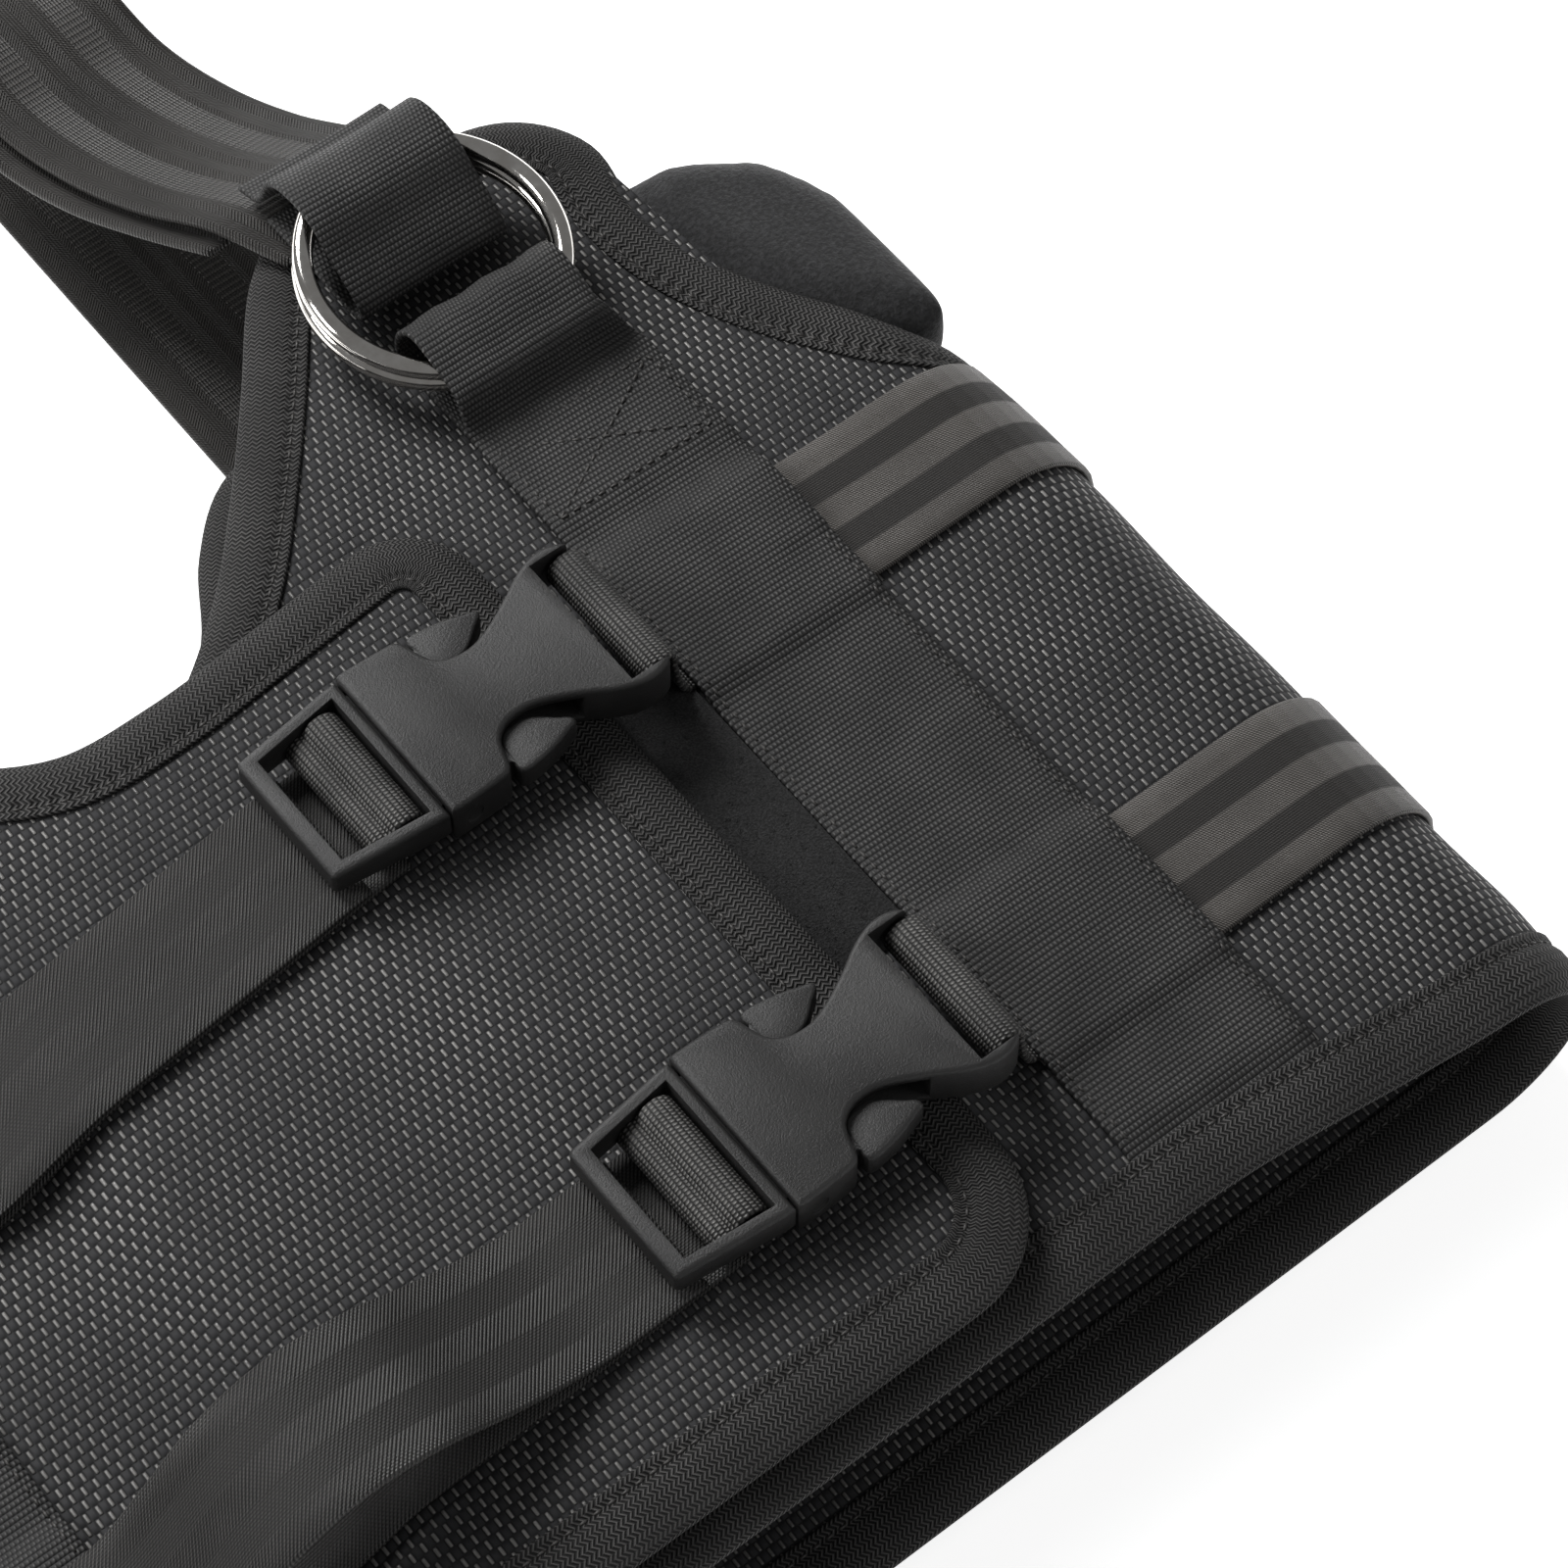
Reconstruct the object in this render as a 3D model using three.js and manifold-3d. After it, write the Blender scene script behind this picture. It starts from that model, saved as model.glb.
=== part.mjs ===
// Padded safety harness vest, lying on its back with its front up.
// Millimetres. X runs to the wearer's left, Y from hem to shoulders, Z up from the floor.
import * as THREE from 'three';
import { mergeVertices } from 'three/addons/utils/BufferGeometryUtils.js';
import Module from 'manifold-3d';

const wasm = await Module();
wasm.setup();

// Body wrap: one padded panel that runs from the left front round the back to the right flap.
const HALF_WIDTH = 225;          // centre line to the outside of the side fold
const BODY_TOP = 56;             // outside of the left front panel
const BODY_BOTTOM = 4;           // outside of the back panel
const SHELL = 1.0;               // woven outer fabric
const FOAM = 3.4;                // foam core
const LINING = 1.0;              // woven lining
const PLY_GAP = 0.3;             // clearance between plies and between touching pieces
const WALL = SHELL + FOAM + LINING + 2 * PLY_GAP;
const INNER_EDGE_X = -40;        // free edge of the left front, under the flap
const FLAP_EDGE_X = 87;          // free edge of the right flap, on top
const FLAP_GAP = 2.6;            // room under the flap for the two touch fastener strips
const FLAP_TOP = BODY_TOP + FLAP_GAP + WALL;
const RAMP_START_X = -78;        // the right front climbs onto the left front here
const RAMP_END_X = -52;
const UNDERARM_Y = 186;
const SHOULDER_Y = 307;
const HEM_Y = -12;               // front hem at the middle
const LEFT_HEM_DROP = 6.5;       // the left front's hem shows below the flap's
const SIDE_HEM_DROP = 15.5;      // the hem is lower at the sides and back
const BINDING_R = WALL / 2;      // bound edges, as a round roll

// Webbing.
const WEB = 1.6;                 // webbing thickness
const WIDE = 50;                 // vertical webbing width
const BAND = 38;                 // side band width
const WEB_X = 135;               // middle of a vertical webbing
const UPPER_Y = 162;             // upper belt line
const LOWER_Y = 43;              // lower belt line
const BELT = 36;                 // belt webbing width
const BELT_WEB = 1.5;            // belt webbing thickness
const STRAP_WIDTH = 48;
const STRAP_X = 103;             // middle of the shoulder strap behind the back
const STRAP_LOOP_Y = 452;        // far end of the shoulder strap loop

// Rings.
const RING_R = 30.5;             // to the middle of the wire
const WIRE_R = 2.5;
const RING_X = 130;
const RING_Y = 270;
const RING_Z = 67;
const RING_TILT = 10;            // degrees, shoulder side up
const RING_STEP = 5.4;           // from one ring to the next along their axis

// Side release buckles.
const BUCKLE_MOUTH_X = 42;       // face where plug and socket meet
const BUCKLE_Z = FLAP_TOP + 8.6;
const SOCKET_LENGTH = 61;
const SOCKET_HALF_WIDTH = 22;
const SOCKET_HALF_HEIGHT = 6.2;
const CAVITY_HALF_WIDTH = 18.6;
const CAVITY_HALF_HEIGHT = 3.9;
const CAVITY_DEPTH = 40;
const PLUG_LENGTH = 29;
const PLUG_HALF_HEIGHT = 3.6;
const PLUG_MOUTH_TOP = 5.2;      // the plug's top rises to the mouth
const LATCH_HALF_HEIGHT = 3.4;
const BAR_R = 2.2;
const ARM_ROOT = 4.3;

const MID_Z = (BODY_TOP + BODY_BOTTOM) / 2;
const FOLD_X = HALF_WIDTH - (BODY_TOP - BODY_BOTTOM) / 2;
const ARC_STEPS = 8;
const FAR = 600;                 // beyond every piece, for cutters

const vest = new THREE.Group();
const paint = {
  woven: [0x2b2b2d, 0.8, 0],
  foam: [0x3c3c3e, 0.95, 0],
  fleece: [0x2a2a2c, 1, 0],
  binding: [0x37332f, 0.85, 0],
  webbing: [0x1f1e1e, 0.6, 0],
  band: [0x4a4642, 0.5, 0],
  strap: [0x4a4541, 0.55, 0],
  fastener: [0x161616, 1, 0],
  steel: [0xc9c6c0, 0.15, 1],
  acetal: [0x3a3839, 0.45, 0],
};

function add(name, geometry, finish, parent = vest) {
  const [color, roughness, metalness] = paint[finish];
  const material = new THREE.MeshStandardMaterial({ color, roughness, metalness });
  const mesh = new THREE.Mesh(geometry, material);
  mesh.name = name;
  parent.add(mesh);
  return mesh;
}

// ---- solids ----

function solid(geometry) {
  const bare = geometry.index ? geometry.toNonIndexed() : geometry.clone();
  bare.deleteAttribute('normal');
  bare.deleteAttribute('uv');
  const merged = mergeVertices(bare, 1e-4);
  const vertProperties = new Float32Array(merged.attributes.position.array);
  const triVerts = new Uint32Array(merged.index.array);
  return new wasm.Manifold(new wasm.Mesh({ numProp: 3, vertProperties, triVerts }));
}

function geometryOf(body) {
  const mesh = body.getMesh();
  const geometry = new THREE.BufferGeometry();
  geometry.setAttribute('position', new THREE.BufferAttribute(new Float32Array(mesh.vertProperties), 3));
  geometry.setIndex(new THREE.BufferAttribute(new Uint32Array(mesh.triVerts), 1));
  geometry.computeVertexNormals();
  return geometry;
}

const cut = (body, tools) => tools.reduce((left, tool) => left.subtract(tool), body);

// Turns an extrusion made in XY along Z so that its drawing plane is XZ or YZ.
const TO_XZ = new THREE.Matrix4().makeBasis(
  new THREE.Vector3(1, 0, 0), new THREE.Vector3(0, 0, 1), new THREE.Vector3(0, -1, 0));
const TO_YZ = new THREE.Matrix4().makeBasis(
  new THREE.Vector3(0, 1, 0), new THREE.Vector3(0, 0, 1), new THREE.Vector3(1, 0, 0));

function extruded(outline, depth) {
  const shape = new THREE.Shape(outline.map(([a, b]) => new THREE.Vector2(a, b)));
  return new THREE.ExtrudeGeometry(shape, { depth, bevelEnabled: false });
}

function plate(outline, z0, z1) {
  return extruded(outline, z1 - z0).translate(0, 0, z0);
}

function acrossY(outline, y0, y1) {
  return extruded(outline, y1 - y0).applyMatrix4(TO_XZ).translate(0, y1, 0);
}

function acrossX(outline, x0, x1) {
  return extruded(outline, x1 - x0).applyMatrix4(TO_YZ).translate(x0, 0, 0);
}

function block(x0, x1, y0, y1, z0, z1) {
  return plate([[x0, y0], [x1, y0], [x1, y1], [x0, y1]], z0, z1);
}

// A line moved sideways by d, to the left of its direction.
function shifted(line, d) {
  return line.map((point, i) => {
    const before = line[Math.max(i - 1, 0)];
    const after = line[Math.min(i + 1, line.length - 1)];
    const first = new THREE.Vector2(point[0] - before[0], point[1] - before[1]);
    const second = new THREE.Vector2(after[0] - point[0], after[1] - point[1]);
    if (i === 0) first.copy(second);
    if (i === line.length - 1) second.copy(first);
    first.normalize();
    second.normalize();
    const middle = first.clone().add(second).normalize();
    const reach = d / Math.max(middle.dot(first), 0.5);
    return [point[0] - middle.y * reach, point[1] + middle.x * reach];
  });
}

// The closed outline of a line with a thickness.
function thick(line, thickness) {
  return [...shifted(line, -thickness / 2), ...shifted(line, thickness / 2).reverse()];
}

function smoothLine(points, steps) {
  const curve = new THREE.CatmullRomCurve3(
    points.map(([a, b]) => new THREE.Vector3(a, b, 0)), false, 'centripetal');
  return curve.getPoints(steps).map((p) => [p.x, p.y]);
}

const mirrored = (line) => line.map(([x, y]) => [-x, y]);

// ---- the wrap, as a surface ----

const arcLength = (depth) => Math.PI * ((BODY_TOP - BODY_BOTTOM) / 2 - depth);

// A point on the wrap. u is measured round it from the centre line, over the side fold.
function onWrap(u, y, depth = WALL / 2, onFlap = false) {
  const side = Math.sign(u) || 1;
  const along = Math.abs(u);
  const radius = (BODY_TOP - BODY_BOTTOM) / 2 - depth;
  if (along <= FOLD_X) {
    let z = BODY_TOP - depth;
    if (onFlap) {
      const climb = THREE.MathUtils.clamp((u - RAMP_START_X) / (RAMP_END_X - RAMP_START_X), 0, 1);
      z += climb * (FLAP_TOP - BODY_TOP);
    }
    return new THREE.Vector3(u, y, z);
  }
  const fold = arcLength(WALL / 2);
  if (along < FOLD_X + fold) {
    const angle = Math.PI * (along - FOLD_X) / fold;
    return new THREE.Vector3(
      side * (FOLD_X + radius * Math.sin(angle)), y, MID_Z + radius * Math.cos(angle));
  }
  return new THREE.Vector3(side * (FOLD_X - (along - FOLD_X - fold)), y, BODY_BOTTOM + depth);
}

// The line of the wrap's section at a depth, from the hidden inner edge to the flap's edge.
function wrapSection(depth) {
  const radius = (BODY_TOP - BODY_BOTTOM) / 2 - depth;
  const line = [[INNER_EDGE_X + BINDING_R + PLY_GAP, BODY_TOP - depth]];
  for (let i = 0; i <= ARC_STEPS; i++) {
    const angle = Math.PI * i / ARC_STEPS;
    line.push([FOLD_X + radius * Math.sin(angle), MID_Z + radius * Math.cos(angle)]);
  }
  for (let i = 0; i <= ARC_STEPS; i++) {
    const angle = Math.PI * (1 - i / ARC_STEPS);
    line.push([-FOLD_X - radius * Math.sin(angle), MID_Z + radius * Math.cos(angle)]);
  }
  line.push([RAMP_START_X, BODY_TOP - depth]);
  line.push([RAMP_END_X, FLAP_TOP - depth]);
  line.push([FLAP_EDGE_X - BINDING_R - PLY_GAP, FLAP_TOP - depth]);
  return line;
}

function ply(from, to) {
  const outline = [...wrapSection(from), ...wrapSection(to).reverse()];
  return solid(acrossY(outline, -60, SHOULDER_Y + 30));
}

// ---- the edges, as lines in (u, y) ----

const sideHem = HEM_Y - SIDE_HEM_DROP;
const towardsSide = (x) => THREE.MathUtils.smoothstep(Math.abs(x), 110, FOLD_X + 18);
const hemY = (x) => HEM_Y - SIDE_HEM_DROP * towardsSide(x);
const leftHemY = (x) => hemY(x) - LEFT_HEM_DROP * (1 - towardsSide(x));
const sideU = FOLD_X + arcLength(WALL / 2) / 2;
const backU = (x) => 2 * sideU - x;

const NECK = smoothLine([
  [INNER_EDGE_X + 4, 193], [4, 204], [24, 216], [44, 233], [62, 253], [80, 275], [97, 297], [108, SHOULDER_Y],
], 16);
const ARMHOLE_START = 8;           // the first point below the shoulder's corner
const ARM_X = FOLD_X - 17;         // how far in the armhole comes
const ARMHOLE = smoothLine([
  [112, SHOULDER_Y], [ARM_X - 26, SHOULDER_Y], [ARM_X - 7, SHOULDER_Y - 6], [ARM_X + 3, SHOULDER_Y - 22], [ARM_X, 264],
  [ARM_X + 2, 245], [ARM_X + 9, 227], [ARM_X + 20, 209], [ARM_X + 33, 194], [sideU, UNDERARM_Y],
], 20);
const backRight = [
  [0, 226], [25, 232], [46, 251], [60, 272], [78, 287], [120, 294], [ARM_X - 12, 292], [ARM_X, 282],
];
const BACK_TOP = smoothLine([...mirrored(backRight.slice(1)).reverse(), ...backRight], 32);
const BACK_ARMHOLE = smoothLine([
  [sideU, UNDERARM_Y], [backU(ARM_X + 26), 198], [backU(ARM_X + 14), 214], [backU(ARM_X + 5), 232],
  [backU(ARM_X + 2), 262], [backU(ARM_X), 278],
], 10);
const FLAP_CORNER = 17;
const FLAP_FOOT = 26;
const FLAP_TOP_Y = 216;

function arcPoints(cx, cy, radius, from, to, steps) {
  const points = [];
  for (let i = 0; i <= steps; i++) {
    const angle = THREE.MathUtils.degToRad(from + (to - from) * i / steps);
    points.push([cx + radius * Math.cos(angle), cy + radius * Math.sin(angle)]);
  }
  return points;
}

// Flap edge from the hem, round both corners, to the right side of the neck.
const flapFoot = arcPoints(FLAP_EDGE_X - FLAP_FOOT, hemY(0) + FLAP_FOOT, FLAP_FOOT, -90, 0, 6);
const flapHead = arcPoints(FLAP_EDGE_X - FLAP_CORNER, FLAP_TOP_Y - FLAP_CORNER, FLAP_CORNER, 0, 90, 5);
const flapNeck = smoothLine([
  [FLAP_EDGE_X - FLAP_CORNER, FLAP_TOP_Y], [44, 213.5], [10, 210.5], [-16, 213], [-44, 233], [-62, 253], [-80, 275],
  [-97, 297], [-108, SHOULDER_Y],
], 18);
const FLAP_EDGE = [...flapFoot, ...flapHead, ...flapNeck.slice(1)];

const planLine = (line) => line.map(([u, y]) => {
  const point = onWrap(u, y);
  return [point.x, point.y];
});

// Cutters take the plies back from each bound edge by the binding's half width.
const EDGE_INSET = BINDING_R + 0.8;

function above(line, z0, z1) {
  const edge = shifted(line, -EDGE_INSET);
  const first = edge[0];
  const last = edge[edge.length - 1];
  return solid(plate([...edge, [last[0], FAR], [first[0], FAR]], z0, z1));
}

function below(line, z0, z1) {
  const edge = shifted(line, EDGE_INSET);
  const first = edge[0];
  const last = edge[edge.length - 1];
  return solid(plate([[first[0], -FAR], [last[0], -FAR], ...edge.slice().reverse()], z0, z1));
}

function hemCut(height) {
  const points = [];
  for (let x = -FAR; x <= FAR; x += 30) points.push([x, Math.abs(x) > FOLD_X ? sideHem : height(x)]);
  return points;
}

const armholePlan = planLine(ARMHOLE);
const backArmholePlan = planLine(BACK_ARMHOLE).reverse();
const frontTop = [[INNER_EDGE_X - 8, 191], ...NECK, ...armholePlan, [FAR, UNDERARM_Y]];
const backTop = [
  [-FAR, UNDERARM_Y], ...mirrored(backArmholePlan).reverse(), ...BACK_TOP, ...backArmholePlan,
  [FAR, UNDERARM_Y],
];
const rightEdge = shifted([...FLAP_EDGE, ...mirrored(armholePlan), [-FAR, UNDERARM_Y]], EDGE_INSET);
const aroundRight = [...rightEdge, [-FAR, FAR], [FAR, FAR], [FAR, -FAR], [rightEdge[0][0], -FAR]];
const underFlap = BODY_TOP + FLAP_GAP / 2;
const overFlap = FLAP_TOP + WALL;
const underFlapX = RAMP_END_X + 6;
const belowFlap = solid(block(underFlapX, FAR, -FAR, FAR, MID_Z - 1, underFlap));
const rightFront = solid(block(-FAR, underFlapX, -FAR, FAR, MID_Z - 1, underFlap + 1));

const cutters = [
  below(hemCut(hemY), MID_Z, overFlap).subtract(belowFlap),
  below(hemCut(leftHemY), MID_Z, underFlap).subtract(rightFront),
  below([[-FAR, sideHem], [FAR, sideHem]], -WALL, MID_Z),
  above(frontTop, MID_Z, underFlap).subtract(rightFront),
  solid(plate(aroundRight, MID_Z, overFlap)).subtract(belowFlap),
  above(backTop, -WALL, MID_Z),
];

function addPly(name, from, to, finish) {
  add(name, geometryOf(cut(ply(from, to), cutters)), finish);
}
addPly('wrap_shell', 0, SHELL, 'woven');
addPly('wrap_foam', SHELL + PLY_GAP, SHELL + PLY_GAP + FOAM, 'foam');
addPly('wrap_lining', WALL - LINING, WALL, 'woven');

// ---- bound edges ----

function roll(points, radius, steps, sides = 8) {
  const section = new THREE.Shape();
  for (let i = 0; i < sides; i++) {
    const angle = 2 * Math.PI * i / sides;
    const x = radius * Math.cos(angle);
    const y = radius * Math.sin(angle);
    if (i === 0) section.moveTo(x, y);
    else section.lineTo(x, y);
  }
  const extrudePath = new THREE.CatmullRomCurve3(points, false, 'centripetal');
  return new THREE.ExtrudeGeometry(section, { steps, extrudePath, bevelEnabled: false });
}

function addBinding(name, line, steps, onFlap = false) {
  const points = line.map(([u, y]) => onWrap(u, y, WALL / 2, onFlap));
  add(name, roll(points, BINDING_R, steps), 'binding');
}

const hemLine = [];
for (let u = INNER_EDGE_X + 4; u < FOLD_X; u += 24) hemLine.push([u, leftHemY(u)]);
for (let i = 0; i <= 6; i++) hemLine.push([FOLD_X + arcLength(WALL / 2) * i / 6, sideHem]);
for (let u = backU(170); u < backU(-175); u += 60) hemLine.push([u, sideHem]);
const hemPath = hemLine.map(([u, y]) => onWrap(u, y));
const rightSide = hemLine.filter(([u]) => u >= FOLD_X && u <= FOLD_X + arcLength(WALL / 2) + 1).reverse();
hemPath.push(...rightSide.map(([u, y]) => onWrap(-u, y)));
const rightHem = [-FOLD_X + 24, -150, -120, -95, RAMP_START_X, RAMP_END_X, -20, 20, FLAP_EDGE_X - FLAP_FOOT - 4];
hemPath.push(...rightHem.map((x) => onWrap(x, hemY(x), WALL / 2, true)));
add('binding_hem', roll(hemPath, BINDING_R, 110, 6), 'binding');

addBinding('binding_flap', FLAP_EDGE, 60, true);
addBinding('binding_neck_left', NECK, 18);
addBinding('binding_neck_back', BACK_TOP.slice(1, -1).map(([x, y]) => [backU(x), y]), 44);

// Shoulder and armhole, in one run from the front shoulder to the back one.
const armholeRun = [...ARMHOLE, ...BACK_ARMHOLE.slice(1)].map(([u, y]) => onWrap(u, y));
for (const [side, name] of [[1, 'left'], [-1, 'right']]) {
  const line = armholeRun.map((p) => new THREE.Vector3(side * p.x, p.y, p.z));
  add(`binding_armhole_${name}`, roll(line, BINDING_R, 44), 'binding');
}

// The rolled-out edge of the back panel fills the outer side of each armhole.
const ROLL_LOW = 30;
const ROLL_HIGH = 48;
const rollInner = shifted(armholePlan.slice(ARMHOLE_START, -1), EDGE_INSET + 1);
const ROLL_OUT = HALF_WIDTH + 1.8;
const rollOuter = [[ROLL_OUT, 194], [ROLL_OUT, 240], [ROLL_OUT - 5.8, 259], [ROLL_OUT - 17.8, 270.5], [ROLL_OUT - 29.8, 277]];
for (const [side, name] of [[1, 'left'], [-1, 'right']]) {
  const outline = [...rollInner, ...rollOuter].map(([x, y]) => [side * x, y]);
  add(`armhole_roll_${name}`, plate(outline, ROLL_LOW, ROLL_HIGH), 'fleece');
}

// ---- touch fastener ----

const STRIP_LOW = LOWER_Y + BELT / 2 + 11;
const STRIP_HIGH = UPPER_Y - BELT / 2 - 2;
const webEdge = WEB_X - WIDE / 2;
const loopTop = BODY_TOP + PLY_GAP + 1;
add('loop_strip', block(20, webEdge - 1.5, STRIP_LOW, STRIP_HIGH, BODY_TOP + PLY_GAP, loopTop), 'fastener');
const hookLow = loopTop + PLY_GAP;
add('hook_strip', block(24, FLAP_EDGE_X - 13, STRIP_LOW + 3, STRIP_HIGH - 3, hookLow,
  BODY_TOP + FLAP_GAP - PLY_GAP), 'fastener');

// ---- webbing ----

const lowWebZ = BODY_TOP + PLY_GAP + WEB / 2;       // on the panel, under the vertical webbing
const topWebZ = lowWebZ + WEB + PLY_GAP;            // the vertical webbing itself
const tilt = THREE.MathUtils.degToRad(RING_TILT);
const ringCentre = new THREE.Vector3(RING_X, RING_Y, RING_Z);
const secondRing = new THREE.Vector3(0, -Math.sin(tilt), Math.cos(tilt)).multiplyScalar(RING_STEP);
const nearY = RING_Y - RING_R * Math.cos(tilt);
const nearZ = RING_Z - RING_R * Math.sin(tilt);
const farY = RING_Y + RING_R * Math.cos(tilt);
const farZ = RING_Z + RING_R * Math.sin(tilt);
const rest = WIRE_R + WEB / 2 + 0.6;                // wire centre to the middle of a tape round it

// Front webbing: from the hem's binding, over both rings' wires and back under itself.
const overNear = nearZ + secondRing.z + rest;
const TAB_END_Y = 200;
const frontRun = (hemEnd) => [
  [hemEnd, topWebZ], [nearY - 17, topWebZ], [nearY - 9, topWebZ + 3], [nearY - 4.5, overNear - 1],
  [nearY, overNear], [nearY + 6, overNear + 2.4], [nearY + 12.5, overNear + 2.8], [nearY + 17.5, overNear - 2],
  [nearY + 19.3, overNear - 8.5], [nearY + 18.5, lowWebZ + 2.2], [nearY + 15, lowWebZ], [TAB_END_Y, lowWebZ],
];
const TAPE_IN_RING = 42;
const half = WIDE / 2;
const pinch = TAPE_IN_RING / 2;
const lean = (RING_X - WEB_X) * 0.6;               // the tape leans towards the rings
const frontOutline = [
  [-half, -FAR], [half, -FAR], [half, nearY - 13], [lean + pinch, nearY - 3], [lean + pinch, FAR],
  [lean - pinch, FAR], [lean - pinch, nearY - 3], [-half, nearY - 13],
];

// Upper tape: sewn on the shoulder strap, over both wires and down into the rings.
const overFar = farZ + secondRing.z + rest;
const tapeEnd = farY + 20;
const upperTape = [
  [tapeEnd, 62.4], [farY + 12, 66], [farY + 6, overFar - 4], [farY - 1, overFar], [farY - 11, overFar - 0.4],
  [farY - 20, overFar - 7], [farY - 28, 68.5], [farY - 30.5, 64.6], [farY - 27.5, 61.7], [farY - 20, 61.5],
  [farY - 6, 62.4], [farY + 8, 61.9], [tapeEnd, 60.2],
];

// Shoulder strap: from the rings, round the far loop and down the whole back.
const strapRun = [
  [RING_X, farY - 4, 59.2], [122, 318, 57.6], [114, 338, 51], [108, 360, 45.5], [104, 384, 43], [STRAP_X, 408, 45.5],
  [STRAP_X, STRAP_LOOP_Y - 22, 44], [STRAP_X, STRAP_LOOP_Y - 8, 38.5], [STRAP_X, STRAP_LOOP_Y, 27],
  [STRAP_X, STRAP_LOOP_Y - 4, 14], [STRAP_X, STRAP_LOOP_Y - 16, 5.5], [STRAP_X, STRAP_LOOP_Y - 36, WEB / 2 + 0.6],
  [STRAP_X, STRAP_LOOP_Y - 56, WEB / 2], [STRAP_X, 250, WEB / 2], [STRAP_X, 100, WEB / 2],
  [STRAP_X, sideHem + 2, WEB / 2],
];
const innerRun = [
  [119, 314, 54.4], [111, 334, 48.2], [104, 356, 42], [99, 380, 39], [97, 404, 41], [97, 426, 40],
];

// A flat tape along a path, its width kept level across X. Four corners at each station.
function tape(points, width, thickness) {
  const positions = [];
  const faces = [];
  const last = points.length - 1;
  points.forEach((point, i) => {
    const before = new THREE.Vector3(...points[Math.max(i - 1, 0)]);
    const after = new THREE.Vector3(...points[Math.min(i + 1, last)]);
    const along = after.sub(before).normalize();
    const across = new THREE.Vector3(1, 0, 0);
    const out = new THREE.Vector3().crossVectors(across, along).normalize();
    for (const [a, b] of [[-1, -1], [1, -1], [1, 1], [-1, 1]]) {
      const corner = new THREE.Vector3(...point)
        .addScaledVector(across, a * width / 2).addScaledVector(out, b * thickness / 2);
      positions.push(corner.x, corner.y, corner.z);
    }
  });
  for (let i = 0; i < last; i++) {
    for (let k = 0; k < 4; k++) {
      const a = 4 * i + k;
      const b = 4 * i + (k + 1) % 4;
      faces.push(a, b + 4, b, a, a + 4, b + 4);
    }
  }
  faces.push(0, 1, 2, 0, 2, 3);
  const end = 4 * last;
  faces.push(end, end + 2, end + 1, end, end + 3, end + 2);
  const geometry = new THREE.BufferGeometry();
  geometry.setAttribute('position', new THREE.Float32BufferAttribute(positions, 3));
  geometry.setIndex(faces);
  geometry.computeVertexNormals();
  return geometry;
}

// A smooth run through the points of a tape, as plain arrays.
function evenRun(points, steps) {
  const curve = new THREE.CatmullRomCurve3(points.map((p) => new THREE.Vector3(...p)), false, 'centripetal');
  return curve.getPoints(steps).map((p) => [p.x, p.y, p.z]);
}

function mirrorX(geometry) {
  const copy = geometry.index ? geometry.toNonIndexed() : geometry.clone();
  copy.scale(-1, 1, 1);
  const position = copy.attributes.position;
  const swap = new THREE.Vector3();
  const other = new THREE.Vector3();
  for (let i = 0; i < position.count; i += 3) {
    swap.fromBufferAttribute(position, i + 1);
    other.fromBufferAttribute(position, i + 2);
    position.setXYZ(i + 1, other.x, other.y, other.z);
    position.setXYZ(i + 2, swap.x, swap.y, swap.z);
  }
  copy.computeVertexNormals();
  return copy;
}

function frontWebbing(hemEnd) {
  const run = solid(acrossX(thick(frontRun(hemEnd), WEB), WEB_X - half, WEB_X + half));
  return geometryOf(run.intersect(solid(plate(frontOutline.map(([x, y]) => [x + WEB_X, y]), 0, FAR))));
}

const WEB_TUCK = 5;                                // the webbing ends this far above the hem
add('front_webbing_left', frontWebbing(leftHemY(WEB_X) + WEB_TUCK), 'webbing');
add('front_webbing_right', mirrorX(frontWebbing(hemY(WEB_X) + WEB_TUCK)), 'webbing');
const leftSide = {
  ring_tape: [acrossX(thick(upperTape.slice(0, -1), WEB), RING_X - pinch, RING_X + pinch), 'webbing'],
  shoulder_strap: [tape(evenRun(strapRun, 44), STRAP_WIDTH, WEB), 'strap'],
  shoulder_strap_lining: [tape(evenRun(innerRun, 14), STRAP_WIDTH, WEB), 'strap'],
};
for (const [name, [geometry, finish]] of Object.entries(leftSide)) {
  add(`${name}_left`, geometry, finish);
  add(`${name}_right`, mirrorX(geometry), finish);
}

for (const [side, name] of [[1, 'left'], [-1, 'right']]) {
  for (const [step, level] of [[0, 'lower'], [1, 'upper']]) {
    const ring = new THREE.TorusGeometry(RING_R, WIRE_R, 8, 28);
    const mesh = add(`ring_${name}_${level}`, ring, 'steel');
    mesh.rotation.x = tilt;
    mesh.position.copy(ringCentre).addScaledVector(secondRing, step);
    mesh.position.x *= side;
  }
}

// Side bands: from under one front webbing, round the side, across the back to the other.
const bandSection = [];
const bandRadius = (BODY_TOP - BODY_BOTTOM) / 2 + PLY_GAP + WEB / 2;
const bandEnd = WEB_X + 5;
bandSection.push([bandEnd, lowWebZ]);
for (let i = 0; i <= ARC_STEPS; i++) {
  const angle = Math.PI * i / ARC_STEPS;
  bandSection.push([FOLD_X + bandRadius * Math.sin(angle), MID_Z + bandRadius * Math.cos(angle)]);
}
const bandLine = [...bandSection, ...mirrored(bandSection).reverse()];
for (const [y, name] of [[UPPER_Y, 'upper'], [LOWER_Y, 'lower']]) {
  add(`side_band_${name}`, acrossY(thick(bandLine, WEB), y - BAND / 2, y + BAND / 2), 'band');
}

// ---- buckles and belts ----

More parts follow.
